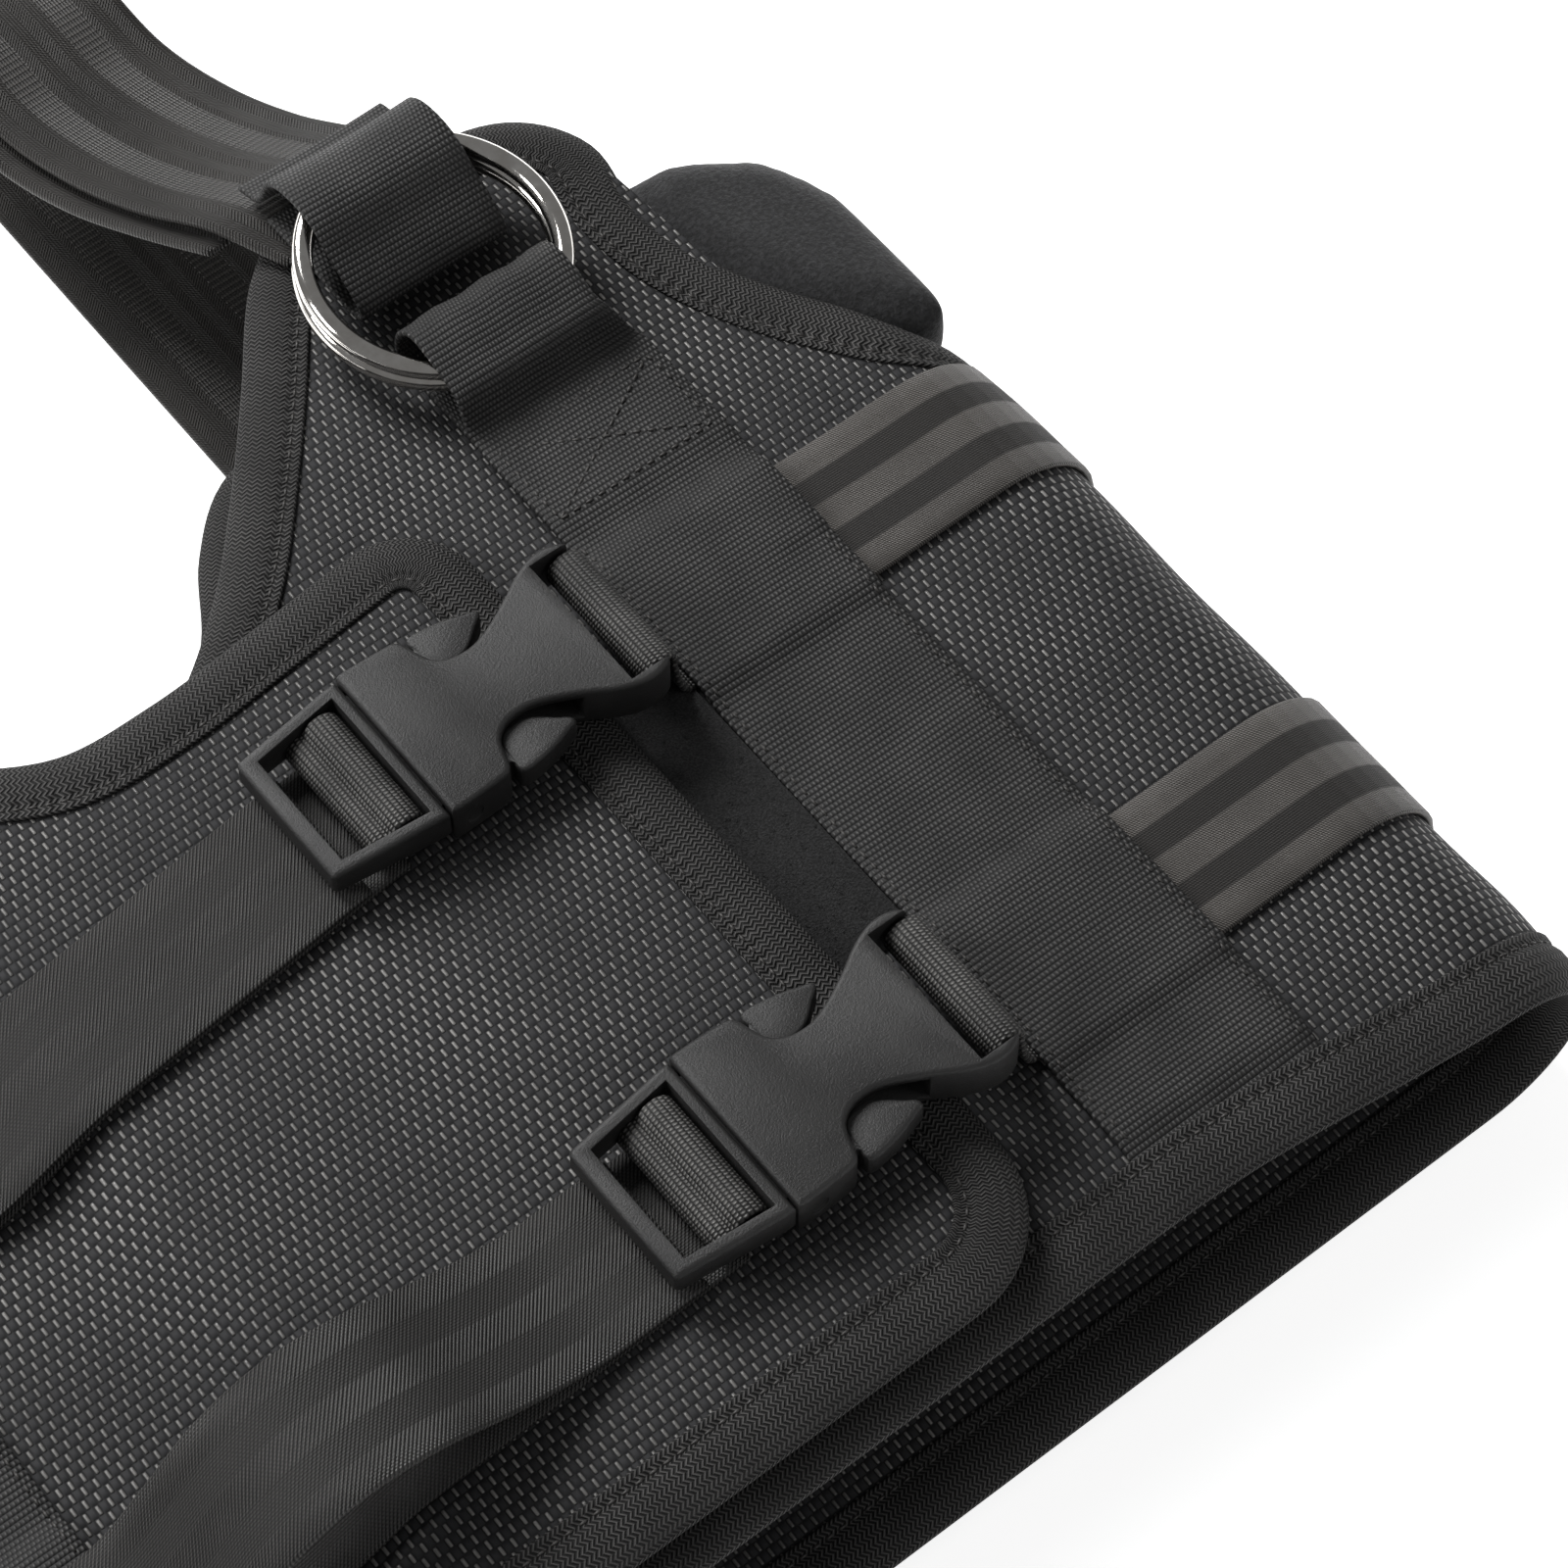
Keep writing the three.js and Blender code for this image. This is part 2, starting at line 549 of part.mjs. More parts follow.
const socketBarX = BUCKLE_MOUTH_X + SOCKET_LENGTH - 2.2;
const plugBarX = BUCKLE_MOUTH_X - 8.5;
const tapeRound = BAR_R * Math.SQRT2 + BELT_WEB / 2 + PLY_GAP;      // bar centre to the middle of a tape round it
const anchorZ = FLAP_TOP + BELT_WEB / 2 + 0.45;
const tailZ = anchorZ + BELT_WEB + PLY_GAP;
const beltEndX = -WEB_X + 5;

const bothSides = (line) => [...line, ...line.map(([u, v]) => [u, -v]).reverse()];
const socketSide = [[0, SOCKET_HALF_WIDTH], [14, SOCKET_HALF_WIDTH - 0.6], [16.5, 20], [18.2, 15.5], [19.6, 12.6],
  [22.5, 10.6], [26.5, 10], [30, 10.5], [41, 15.5], [50, 20.3], [57, 20.8], [SOCKET_LENGTH, 19]];

function socket() {
  const h = SOCKET_HALF_HEIGHT;
  const bar = SOCKET_LENGTH - 2.2;
  const slot = CAVITY_HALF_WIDTH + 0.2;
  const body = solid(plate(bothSides(socketSide), -h, h));
  return cut(body, [
    solid(block(-1, CAVITY_DEPTH, -CAVITY_HALF_WIDTH, CAVITY_HALF_WIDTH, -CAVITY_HALF_HEIGHT, CAVITY_HALF_HEIGHT)),
    solid(block(bar - 8.4, bar - BAR_R, -slot, slot, -h - 1, h + 1)),
    solid(block(bar - BAR_R - 1, SOCKET_LENGTH + 1, -slot, slot, BAR_R, h + 1)),
    solid(block(bar - BAR_R - 1, SOCKET_LENGTH + 1, -slot, slot, -h - 1, -BAR_R)),
  ]);
}

function plug() {
  const h = PLUG_HALF_HEIGHT;
  const mouth = -PLY_GAP - 0.1;
  const seenFromSide = acrossY([[-PLUG_LENGTH, -h], [mouth, -h], [mouth, PLUG_MOUTH_TOP], [-PLUG_LENGTH, h]], -FAR, FAR);
  const frame = solid(plate([[-PLUG_LENGTH, -18.6], [-3, -21.5], [mouth, -21.5], [mouth, 21.5], [-3, 21.5],
    [-PLUG_LENGTH, 18.6]], -h, PLUG_MOUTH_TOP)).intersect(solid(seenFromSide));
  const hole = CAVITY_HALF_WIDTH - 1.6;
  const barX = plugBarX - BUCKLE_MOUTH_X;
  const opened = frame.subtract(solid(plate([[-PLUG_LENGTH + 4.5, -hole + 1.2], [-3.2, -hole - 1.4],
    [-3.2, hole + 1.4], [-PLUG_LENGTH + 4.5, hole - 1.2]], -h - 1, PLUG_MOUTH_TOP + 1)));
  const bar = new THREE.CylinderGeometry(BAR_R, BAR_R, 2 * hole + 5, 12).translate(barX, 0, 0);
  const base = block(-0.6, ARM_ROOT - PLY_GAP, -17.8, 17.8, -LATCH_HALF_HEIGHT, LATCH_HALF_HEIGHT);
  const prong = plate([[ARM_ROOT - 1, -4], [24, -3], [26, -1.5], [26, 1.5], [24, 3], [ARM_ROOT - 1, 4]], -3.2, 3.2);
  return [bar, base, prong].reduce((body, piece) => body.add(solid(piece)), opened);
}

const armOutline = [[ARM_ROOT, 13.9], [ARM_ROOT, 17.6], [15, 17.6], [17.8, 18], [18.5, 21.4], [23, 21.7],
  [28, 20.8], [35.4, 18], [32, 15.4], [27.2, 13.2], [23.5, 12.8], [16, 14.2]];

function turned(centreX, radius, from, to, steps) {
  return arcPoints(centreX, BUCKLE_Z, radius, from, to, steps);
}

const tailShapes = {
  upper: [[20, tailZ], [RAMP_END_X - 4, tailZ], [RAMP_START_X - 4, 61.2], [-104, 60.8]],
  lower: [[20, tailZ], [-8, tailZ + 0.6], [-28, 76], [-48, 86.5], [-66, 90], [-82, 85], [-96, 73.5],
    [-108, 64.6], [-124, topWebZ + WEB + 1]],
};
// How far each belt drifts towards the hem for each millimetre to the right.
const beltDrift = { upper: 0.115, lower: 0.03 };
const beltShift = { upper: -6, lower: -3 };
const shear = new THREE.Matrix4();

for (const [level, y] of [['upper', UPPER_Y], ['lower', LOWER_Y]]) {
  add(`buckle_socket_${level}`, geometryOf(socket()).translate(BUCKLE_MOUTH_X, y, BUCKLE_Z), 'acetal');
  add(`buckle_plug_${level}`, geometryOf(plug()).translate(BUCKLE_MOUTH_X, y, BUCKLE_Z), 'acetal');
  for (const [side, name] of [[1, 'high'], [-1, 'low']]) {
    const outline = armOutline.map(([u, v]) => [u, side * v]);
    add(`latch_${level}_${name}`, plate(outline, -LATCH_HALF_HEIGHT, LATCH_HALF_HEIGHT).translate(BUCKLE_MOUTH_X, y, BUCKLE_Z), 'acetal');
  }

  const round = turned(socketBarX, tapeRound, -20, 280, 12);
  const socketTape = [[webEdge + 18, lowWebZ], [webEdge - 0.8, lowWebZ], [webEdge - 3.6, lowWebZ + 3.4], ...round];
  add(`socket_tape_${level}`, acrossY(thick(socketTape, BELT_WEB), y - BELT / 2, y + BELT / 2), 'webbing');
  const plugTape = turned(plugBarX, tapeRound - 0.1, -120, 190, 14);
  const plugHalf = CAVITY_HALF_WIDTH - 1.9;
  add(`plug_tape_${level}`, acrossY(thick(plugTape, BELT_WEB), y - plugHalf, y + plugHalf), 'webbing');

  shear.makeShear(beltDrift[level], 0, 0, 0, 0, 0);
  const lay = (line) => {
    const strip = acrossY(thick(line, BELT_WEB), -BELT / 2, BELT / 2);
    return strip.applyMatrix4(shear).translate(0, y + beltShift[level], 0);
  };
  const anchor = [[20, anchorZ], [RAMP_END_X - 2, anchorZ], [RAMP_START_X - 2, lowWebZ + 0.4], [beltEndX, lowWebZ]];
  add(`belt_${level}`, lay(anchor), 'band');
  add(`belt_tail_${level}`, lay(tailShapes[level]), 'band');
}

// The origin is under the middle of the vest, on the surface that it lies on.
const bounds = new THREE.Box3().setFromObject(vest);
vest.position.set(-(bounds.min.x + bounds.max.x) / 2, -(bounds.min.y + bounds.max.y) / 2, -bounds.min.z);

export default vest;
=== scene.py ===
# %% [markdown]
# # A padded safety harness vest
# The vest lies on its back. One padded panel goes from the wearer's left front, round the back, to a
# flap that closes over the front. Webbing, rings and two side release buckles are sewn on it.
# Everything is in metres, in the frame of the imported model: +X to the wearer's left, +Y from the hem
# to the shoulders, +Z up.

# %% Load the frame
import bmesh
import bpy
import math
import random
from mathutils import Matrix, Vector, geometry, kdtree, noise


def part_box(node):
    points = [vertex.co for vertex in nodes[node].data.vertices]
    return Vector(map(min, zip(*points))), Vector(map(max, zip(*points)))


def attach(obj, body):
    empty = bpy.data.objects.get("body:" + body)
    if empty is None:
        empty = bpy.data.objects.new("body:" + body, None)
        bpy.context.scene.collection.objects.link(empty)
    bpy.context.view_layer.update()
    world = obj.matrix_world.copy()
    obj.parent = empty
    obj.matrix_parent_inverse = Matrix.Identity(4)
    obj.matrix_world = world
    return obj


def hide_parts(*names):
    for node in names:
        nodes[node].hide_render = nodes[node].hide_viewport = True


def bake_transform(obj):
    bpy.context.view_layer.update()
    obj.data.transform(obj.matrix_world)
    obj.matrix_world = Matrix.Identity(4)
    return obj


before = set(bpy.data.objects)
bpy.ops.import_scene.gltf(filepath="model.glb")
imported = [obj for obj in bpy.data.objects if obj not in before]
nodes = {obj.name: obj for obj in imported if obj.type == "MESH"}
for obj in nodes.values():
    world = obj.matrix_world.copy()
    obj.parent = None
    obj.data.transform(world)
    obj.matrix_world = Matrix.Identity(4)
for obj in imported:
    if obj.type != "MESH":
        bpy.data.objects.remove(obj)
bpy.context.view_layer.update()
scene = bpy.context.scene

# %% [markdown]
# ## The camera
# It stands over the hem, a little to the wearer's right, and looks down at the left shoulder with a
# long lens. A long lens keeps the panels from splaying.

# %% Camera
view_target = Vector((0.109, -0.1002, 0.060))
view_from = Vector((-0.2148, -0.5102, 0.9126))
camera_data = bpy.data.cameras.new("camera")
camera_data.lens = 104.8
camera_data.sensor_width = 36
camera = bpy.data.objects.new("camera", camera_data)
camera.location = view_from
camera.rotation_mode = "QUATERNION"
camera.rotation_quaternion = (view_target - view_from).to_track_quat("-Z", "Y")
scene.collection.objects.link(camera)
scene.camera = camera
print("camera", round((view_target - view_from).length, 3), "m away")

# %% [markdown]
# ## The vest's own sizes
# These are the sizes the pattern maker would give, in millimetres. The frame tells how far the
# origin lies from the pattern's own zero line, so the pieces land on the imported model.

# %% Sizes
MM = 0.001
HALF_WIDTH, BODY_TOP, BODY_BOTTOM, WALL = 225, 56, 4, 6
FOLD_R = (BODY_TOP - BODY_BOTTOM) / 2
MID_Z = (BODY_TOP + BODY_BOTTOM) / 2
FOLD_X = HALF_WIDTH - FOLD_R
FOLD_LENGTH = math.pi * (FOLD_R - WALL / 2)
BACK_MIDDLE = 2 * FOLD_X + FOLD_LENGTH       # distance round the panel to the middle of the back
FLAP_ORIGIN = 2 * BACK_MIDDLE                # and on to the middle of the right front
SIDE = FOLD_X + FOLD_LENGTH / 2
INNER_EDGE_X, FLAP_EDGE_X = -40, 87
FLAP_RISE = 8.6
FLAP_TOP = BODY_TOP + FLAP_RISE
RAMP = (-78, -52)            # the flap climbs on to the left front between these
FOOT_R, HEAD_R, HEAD_Y = 26, 17, 199
UNDERARM_Y, SHOULDER_Y = 186, 307
HEM_Y, SIDE_HEM_DROP, LEFT_HEM_DROP = -12, 15.5, 6.5
WEB, BELT_WEB = 1.6, 1.5
WIDE, BAND, BELT, STRAP = 50, 38, 36, 48
WEB_X, STRAP_X = 135, 103
BELT_LINES = {"upper": 162, "lower": 43}
RING_R, WIRE_R, RING_TILT, RING_STEP = 30.5, 2.5, math.radians(10), 5.4
RING_CENTRE = Vector((130, 270, 67))
MOUTH_X, BUCKLE_Z = 42, FLAP_TOP + 8.6
SOCKET_LENGTH, SOCKET_HALF_HEIGHT, BAR_R = 61, 6.2, 2.2
SOCKET_BAR_X, PLUG_BAR_X = MOUTH_X + SOCKET_LENGTH - BAR_R, MOUTH_X - 8.5
band_low, band_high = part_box("side_band_upper")
ZERO_Y = (band_low.y + band_high.y) / 2 - BELT_LINES["upper"] * MM


def place(x, y, z):
    """A point given in millimetres on the pattern, in metres in the frame."""
    return Vector((x * MM, y * MM + ZERO_Y, z * MM))


print("pattern zero line at y =", round(ZERO_Y, 4))

# %% [markdown]
# ## Lines
# A sewn edge is a smooth line through a few marks. Bezier spans with handles a third of the way
# along keep it from swinging wide, and even steps keep the cloth's cells alike.

# %% Smooth lines
def smooth(points, step):
    """An evenly stepped smooth line through a few points."""
    marks = [Vector(p) for p in points]
    slopes = [heading(marks, i) for i in range(len(marks))]
    dense = []
    for i in range(len(marks) - 1):
        reach = (marks[i + 1] - marks[i]).length / 3
        near, far = marks[i] + slopes[i] * reach, marks[i + 1] - slopes[i + 1] * reach
        dense += geometry.interpolate_bezier(marks[i], near, far, marks[i + 1], 16)[:-1]
    dense.append(marks[-1])
    return even(dense, step)


def lengths_along(line):
    """How far along the line each of its points lies."""
    total = [0.0]
    for before, after in zip(line, line[1:]):
        total.append(total[-1] + (after - before).length)
    return total


def points_at(line, run, distances):
    """The points at some distances along a line, and the number of the span that holds each."""
    found, k = [], 0
    for wanted in distances:
        while k < len(line) - 2 and run[k + 1] < wanted:
            k += 1
        span = run[k + 1] - run[k] or 1
        found.append((line[k].lerp(line[k + 1], min(1, (wanted - run[k]) / span)), k))
    return found


def even(dense, step):
    """The same line with its points a step apart."""
    run = lengths_along(dense)
    count = max(2, round(run[-1] / step) + 1)
    distances = [run[-1] * i / (count - 1) for i in range(count)]
    return [point for point, _ in points_at(dense, run, distances)]


def heading(line, i):
    """The way that a line runs at one of its points."""
    return (line[min(i + 1, len(line) - 1)] - line[max(i - 1, 0)]).normalized()


def arc(cx, cy, radius, start, stop, steps):
    """Points on a round stretch, from one angle to another in degrees."""
    angles = [math.radians(start + (stop - start) * i / steps) for i in range(steps + 1)]
    return [(cx + radius * math.cos(a), cy + radius * math.sin(a)) for a in angles]


def step_up(value, low, high):
    """0 below low, 1 above high, and a soft climb between."""
    t = min(1, max(0, (value - low) / (high - low)))
    return t * t * (3 - 2 * t)


# %% [markdown]
# ## The panel's edges
# The panel is drawn flat. The first number runs round the body, from the middle of the left front
# over the side, the back and the other side; the second runs from hem to shoulder.

# %% Edges on the flat pattern
def hem_height(u):
    """The hem is lower at the sides and the back, and the left front shows below the flap."""
    left = u < BACK_MIDDLE
    middle = 1 - step_up(abs(u if left else FLAP_ORIGIN - u), 110, FOLD_X + 18)
    return HEM_Y - SIDE_HEM_DROP * (1 - middle) - (LEFT_HEM_DROP * middle if left else 0)


def back(x):
    return 2 * SIDE - x


SHOULDER = [(112, SHOULDER_Y), (156, SHOULDER_Y), (175, SHOULDER_Y - 6), (185, SHOULDER_Y - 22),
            (182, 264), (184, 245), (191, 227), (202, 209), (215, 194), (SIDE, UNDERARM_Y)]
BACK_ARMHOLE = [(208, 198), (196, 214), (187, 232), (184, 262), (182, 278)]
BACK_TOP = [(182, 282), (170, 292), (120, 294), (78, 287), (60, 272), (46, 251), (25, 232), (0, 226)]
back_top = [(back(x), y) for x, y in BACK_TOP] + [(back(-x), y) for x, y in reversed(BACK_TOP[:-1])]
NECK = [(INNER_EDGE_X + 4, 193), (4, 204), (24, 216), (44, 233), (62, 253), (80, 275), (97, 297),
        (108, SHOULDER_Y)]
foot = arc(FLAP_EDGE_X - FOOT_R, HEM_Y + FOOT_R, FOOT_R, -90, 0, 8)
flap_edge = [(FLAP_EDGE_X, 60), (FLAP_EDGE_X, 140)]
head = arc(FLAP_EDGE_X - HEAD_R, HEAD_Y, HEAD_R, 0, 90, 6)
FLAP_NECK = [(44, 213.5), (10, 210.5), (-16, 213), (-44, 233), (-62, 253), (-80, 275), (-97, 297),
             (-108, SHOULDER_Y)]
flap = [(FLAP_ORIGIN + x, y) for x, y in foot + flap_edge + head + FLAP_NECK]
TAPE_JOIN = FLAP_ORIGIN - 100         # the flap's tape starts here, on the right front's hem
hem_spans = math.ceil((TAPE_JOIN - INNER_EDGE_X) / 12)
hem_marks = [INNER_EDGE_X + (TAPE_JOIN - INNER_EDGE_X) * i / hem_spans for i in range(hem_spans + 1)]
hem = [(u, hem_height(u)) for u in hem_marks]
flap = [(TAPE_JOIN + step, hem_height(TAPE_JOIN + step)) for step in range(0, 150, 12)] + flap
armhole = SHOULDER + [(back(x), y) for x, y in BACK_ARMHOLE]
EDGES = {
    "hem": (smooth(hem, 3), 1),
    "neck_left": (smooth(NECK, 3), -1),
    "armhole_left": (smooth(armhole, 3), -1),
    "neck_back": (smooth(back_top, 3), -1),
    "armhole_right": (smooth([(FLAP_ORIGIN - u, y) for u, y in armhole], 3), 1),
    "flap": (smooth(flap, 3), 1),
}
edge_marks = [p for line, _ in EDGES.values() for p in line]
nearest_edge = kdtree.KDTree(len(edge_marks))
for i, p in enumerate(edge_marks):
    nearest_edge.insert((p.x, p.y, 0), i)
nearest_edge.balance()
print("edges:", {name: len(line) for name, (line, _) in EDGES.items()})

# %% [markdown]
# ## From the flat pattern to the body
# One function bends the flat pattern round the body. Foam is thinner where a seam pulls it down and
# swells a little beside the seam, and a panel that has been worn has slow waves. Everything sewn on
# the panel is placed by this same function, so it follows the waves.

# %% The wrap
def edge_distance(u, y):
    return nearest_edge.find((u, y, 0))[2]


def swell(u, y):
    """How thick the padding is at a point, as a share of its full thickness."""
    distance = edge_distance(u, y)
    pulled_down = 0.40 * math.exp(-(distance / 12) ** 2)
    swollen = 0.12 * math.exp(-((distance - 25) / 9) ** 2)
    return 1 - pulled_down + swollen


def wave(u, y):
    """Slow waves of the cloth, in millimetres outwards."""
    calm = step_up(edge_distance(u, y), 4, 40)
    slow = noise.noise(Vector((u / 85, y / 60, 3.1)))
    small = noise.noise(Vector((u / 30 + y / 55, y / 34, 8.4)))
    return calm * (1.3 * slow + 0.55 * small)


def wrap(u, y, depth):
    """A point of the panel, in metres. Depth goes in from the cover, and below 0 is on top of it."""
    inward = WALL / 2 + (depth - WALL / 2) * swell(u, y) - wave(u, y)
    if depth < 0:
        inward = WALL / 2 - WALL / 2 * swell(u, y) - wave(u, y) + depth
    side, along = (1, u) if u <= BACK_MIDDLE else (-1, FLAP_ORIGIN - u)
    if along <= FOLD_X:
        z = BODY_TOP - inward
        if side < 0:
            z += FLAP_RISE * step_up(-along, *RAMP)
        return place(side * along, y, z)
    if along < FOLD_X + FOLD_LENGTH:
        angle = math.pi * (along - FOLD_X) / FOLD_LENGTH
        radius = FOLD_R - inward
        return place(side * (FOLD_X + radius * math.sin(angle)), y, MID_Z + radius * math.cos(angle))
    return place(side * (2 * FOLD_X + FOLD_LENGTH - along), y, BODY_BOTTOM + inward)


print("flap edge at", [round(c, 4) for c in wrap(FLAP_ORIGIN + FLAP_EDGE_X, 100, 0)])

# %% [markdown]
# ## Making cloth and tape
# Cloth and tape are grids that are bent into place. A tape's grid is rolled up across, so that it
# has a top, an underside and two selvedges, and its ends are closed. The texture map is in metres
# along and across the cloth, so a weave keeps its real size.

# %% Grids and tubes
def grid_mesh(stations, across, where, mapped, rolled):
    """A grid whose corner (i, k) goes to where(i, k), with its texture at mapped(i, k)."""
    bm = bmesh.new()
    columns, rows = stations - 1, across if rolled else across - 1
    bmesh.ops.create_grid(bm, x_segments=columns, y_segments=rows, size=0.5)
    chart = bm.loops.layers.uv.new("cloth")
    corner = {}
    for v in bm.verts:
        corner[v] = (round((v.co.x + 0.5) * columns), round((v.co.y + 0.5) * rows))
    for face in bm.faces:
        for loop in face.loops:
            loop[chart].uv = mapped(*corner[loop.vert])
    for v in bm.verts:
        i, k = corner[v]
        v.co = where(i, k % across)
    if rolled:
        bmesh.ops.remove_doubles(bm, verts=bm.verts, dist=1e-7)
        rims = [e for e in bm.edges if e.is_boundary]
        bmesh.ops.holes_fill(bm, edges=rims, sides=0)
    bmesh.ops.recalc_face_normals(bm, faces=bm.faces)
    return bm


def piece(name, bm, finish, body="vest", instead=(), sharp=None):
    """Turns a bmesh into a finished object that moves with a body."""
    mesh = bpy.data.meshes.new(name)
    bm.to_mesh(mesh)
    bm.free()
    mesh.shade_smooth()
    if sharp:
        mesh.set_sharp_from_angle(angle=math.radians(sharp))
    obj = bpy.data.objects.new(name, mesh)
    scene.collection.objects.link(obj)
    for material in finish if isinstance(finish, list) else [finish]:
        mesh.materials.append(material)
    if body:
        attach(obj, body)
    if instead:
        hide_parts(*instead)
    return obj


def tape_section(width, thickness, steps=8):
    """A flat tape's section, all the way round: (across, up), with rounded selvedges."""
    half, up = width / 2, thickness / 2
    top = [(-half + 0.5 + (width - 1.0) * i / steps, up) for i in range(steps + 1)]
    edge = [(half - 0.1, up * 0.6), (half, 0), (half - 0.1, -up * 0.6)]
    return top + edge + [(-a, -b) for a, b in top + edge]


SIDEWAYS, UPWARDS = Vector((1, 0, 0)), Vector((0, 1, 0))     # towards a side, and to the shoulders


def tape_mesh(line, width, thickness, across=SIDEWAYS, crown=0.0):
    """A tape along a line of points in metres. Its width lies along one direction."""
    section = tape_section(width, thickness)
    run = lengths_along(line)

    def where(i, k):
        up = across.cross(heading(line, i)).normalized()
        a, b = section[k]
        bow = crown * (1 - (2 * a / width) ** 2)
        return line[i] + across * a * MM + up * (b + bow) * MM

    def mapped(i, k):
        return (run[i], section[k % len(section)][0] * MM)

    return grid_mesh(len(line), len(section), where, mapped, True)


# %% [markdown]
# ## Shader maths
# A weave is arithmetic on the texture map. A small class wraps a socket, so that each sum or product
# written in Python adds its own Math node.

# %% Shader helpers
class Value:
    """A number that changes over the surface."""

    def __init__(self, finish, socket):
        self.finish, self.socket = finish, socket

    def math(self, operation, *others):
        return self.finish.number("ShaderNodeMath", {"operation": operation}, self, *others)

    def __add__(self, other):
        return self.math("ADD", other)

    def __radd__(self, other):
        return self.math("ADD", other)

    def __sub__(self, other):
        return self.math("SUBTRACT", other)

    def __rsub__(self, other):
        return (self * -1) + other

    def __mul__(self, other):
        return self.math("MULTIPLY", other)

    def __rmul__(self, other):
        return self.math("MULTIPLY", other)

    def __truediv__(self, other):
        return self.math("DIVIDE", other)

    def __pow__(self, other):
        return self.math("POWER", other)

    def floor(self):
        return self.math("FLOOR")

    def part(self):
        return self.math("FRACT")

    def size(self):
        return self.math("ABSOLUTE")

    def sine(self):
        return self.math("SINE")

    def at_least(self, low):
        return self.math("MAXIMUM", low)

    def ease(self, low, high):
        """0 below low, 1 above high."""
        settings = {"interpolation_type": "SMOOTHSTEP"}
        return self.finish.number("ShaderNodeMapRange", settings, self, low, high)


class Finish:
    """A material and the nodes that it is made of."""

    def __init__(self, name, **constants):
        self.material = bpy.data.materials.new(name)
        self.material.use_nodes = True
        self.tree = self.material.node_tree
        self.shader = self.tree.nodes["Principled BSDF"]
        for socket, value in constants.items():
            self.shader.inputs[socket.replace("_", " ")].default_value = value

    def node(self, kind, settings=None, values=()):
        """Any node: its settings are set first, then its sockets by number or name."""
        made = self.tree.nodes.new(kind)
        for key, value in (settings or {}).items():
            setattr(made, key, value)
        for key, value in dict(values).items():
            if isinstance(value, Value):
                value = value.socket
            if isinstance(value, bpy.types.NodeSocket):
                self.tree.links.new(value, made.inputs[key])
            else:
                made.inputs[key].default_value = value
        return made

    def number(self, kind, settings, *values):
        return Value(self, self.node(kind, settings, enumerate(values)).outputs[0])

    def cloth(self):
        """The place along and across the cloth, in metres."""
        chart = self.node("ShaderNodeUVMap", {"uv_map": "cloth"})
        split = self.node("ShaderNodeSeparateXYZ", None, {0: chart.outputs[0]})
        return Value(self, split.outputs[0]), Value(self, split.outputs[1])

    def solid(self):
        return self.node("ShaderNodeTexCoord").outputs["Object"]

    def noise(self, where, scale, detail=2.0, roughness=0.5):
        made = self.node("ShaderNodeTexNoise", None, {
            "Vector": where, "Scale": scale, "Detail": detail, "Roughness": roughness})
        return Value(self, made.outputs[0])

    def blend(self, factor, first, second):
        """A colour between two colours."""
        pair = [(*colour, 1) if isinstance(colour, tuple) else colour for colour in (first, second)]
        made = self.node("ShaderNodeMix", {"data_type": "RGBA"}, {0: factor, 6: pair[0], 7: pair[1]})
        return made.outputs[2]

    def feed(self, socket, value):
        source = value.socket if isinstance(value, Value) else value
        self.tree.links.new(source, self.shader.inputs[socket])

    def raise_by(self, height, distance, strength=1.0):
        bump = self.node("ShaderNodeBump", None, {
            "Height": height, "Distance": distance * MM, "Strength": strength})
        self.feed("Normal", bump.outputs[0])


# %% [markdown]
# ## The cover's cloth
# A coarse two-tone plain weave. Pale yarns run from hem to shoulder and show as short dashes where
# they pass over thick dark yarns, like bricks in a wall.

# %% Woven cover
YARN_PITCH, DASH_PITCH = 1.45, 2.62


def woven_cover():
    cloth = Finish("woven_cover", Roughness=0.62, Specular_IOR_Level=0.5)
    u, v = cloth.cloth()
    across, along = u / (YARN_PITCH * MM), v / (DASH_PITCH * MM)
    column, row = across.floor(), along.floor()
    over = ((column + row) * 0.5).part() * 2
    x, y = (across - column - 0.5) * 2, (along - row - 0.5) * 2
    dash = (1 - (x / 0.66) ** 2).at_least(0) * (1 - (y / 0.94) ** 4).at_least(0)
    dark = (1 - (y * 0.92) ** 2).at_least(0) * (1 - (x * 0.8) ** 4).at_least(0)
    fibre = (x * 16 + y * 3).sine() * 0.5 + 0.5
    patch = cloth.noise(cloth.solid(), 22, 3).ease(0.3, 0.7)
    pale = dash.ease(0.10, 0.75) * over
    shade = pale * (0.42 + patch * 0.58) * (0.80 + fibre * 0.20)
    ground = cloth.blend(dark * (1 - over), (0.005, 0.005, 0.0055), (0.020, 0.020, 0.022))
    cloth.feed("Base Color", cloth.blend(shade, ground, (0.27, 0.262, 0.252)))
    cloth.feed("Roughness", 0.80 - pale * 0.44)
    cloth.raise_by(dash * over + dark * (1 - over) * 0.8 + fibre * 0.04, 0.42)
    return cloth.material


# %% [markdown]
# ## Tapes and webbing
# Binding tape has ribs that zigzag across it. Body webbing is a fine plain weave with a painted
# glint at each crossing. Belt webbing is a satin with stripes along it, and the shoulder straps are
# a herringbone.

# %% Tape finishes
STITCH_GIRTH = 3.5     # from a binding tape's inner edge to its stitches, along the tape
STITCH_PITCH = 3.5     # from one stitch to the next


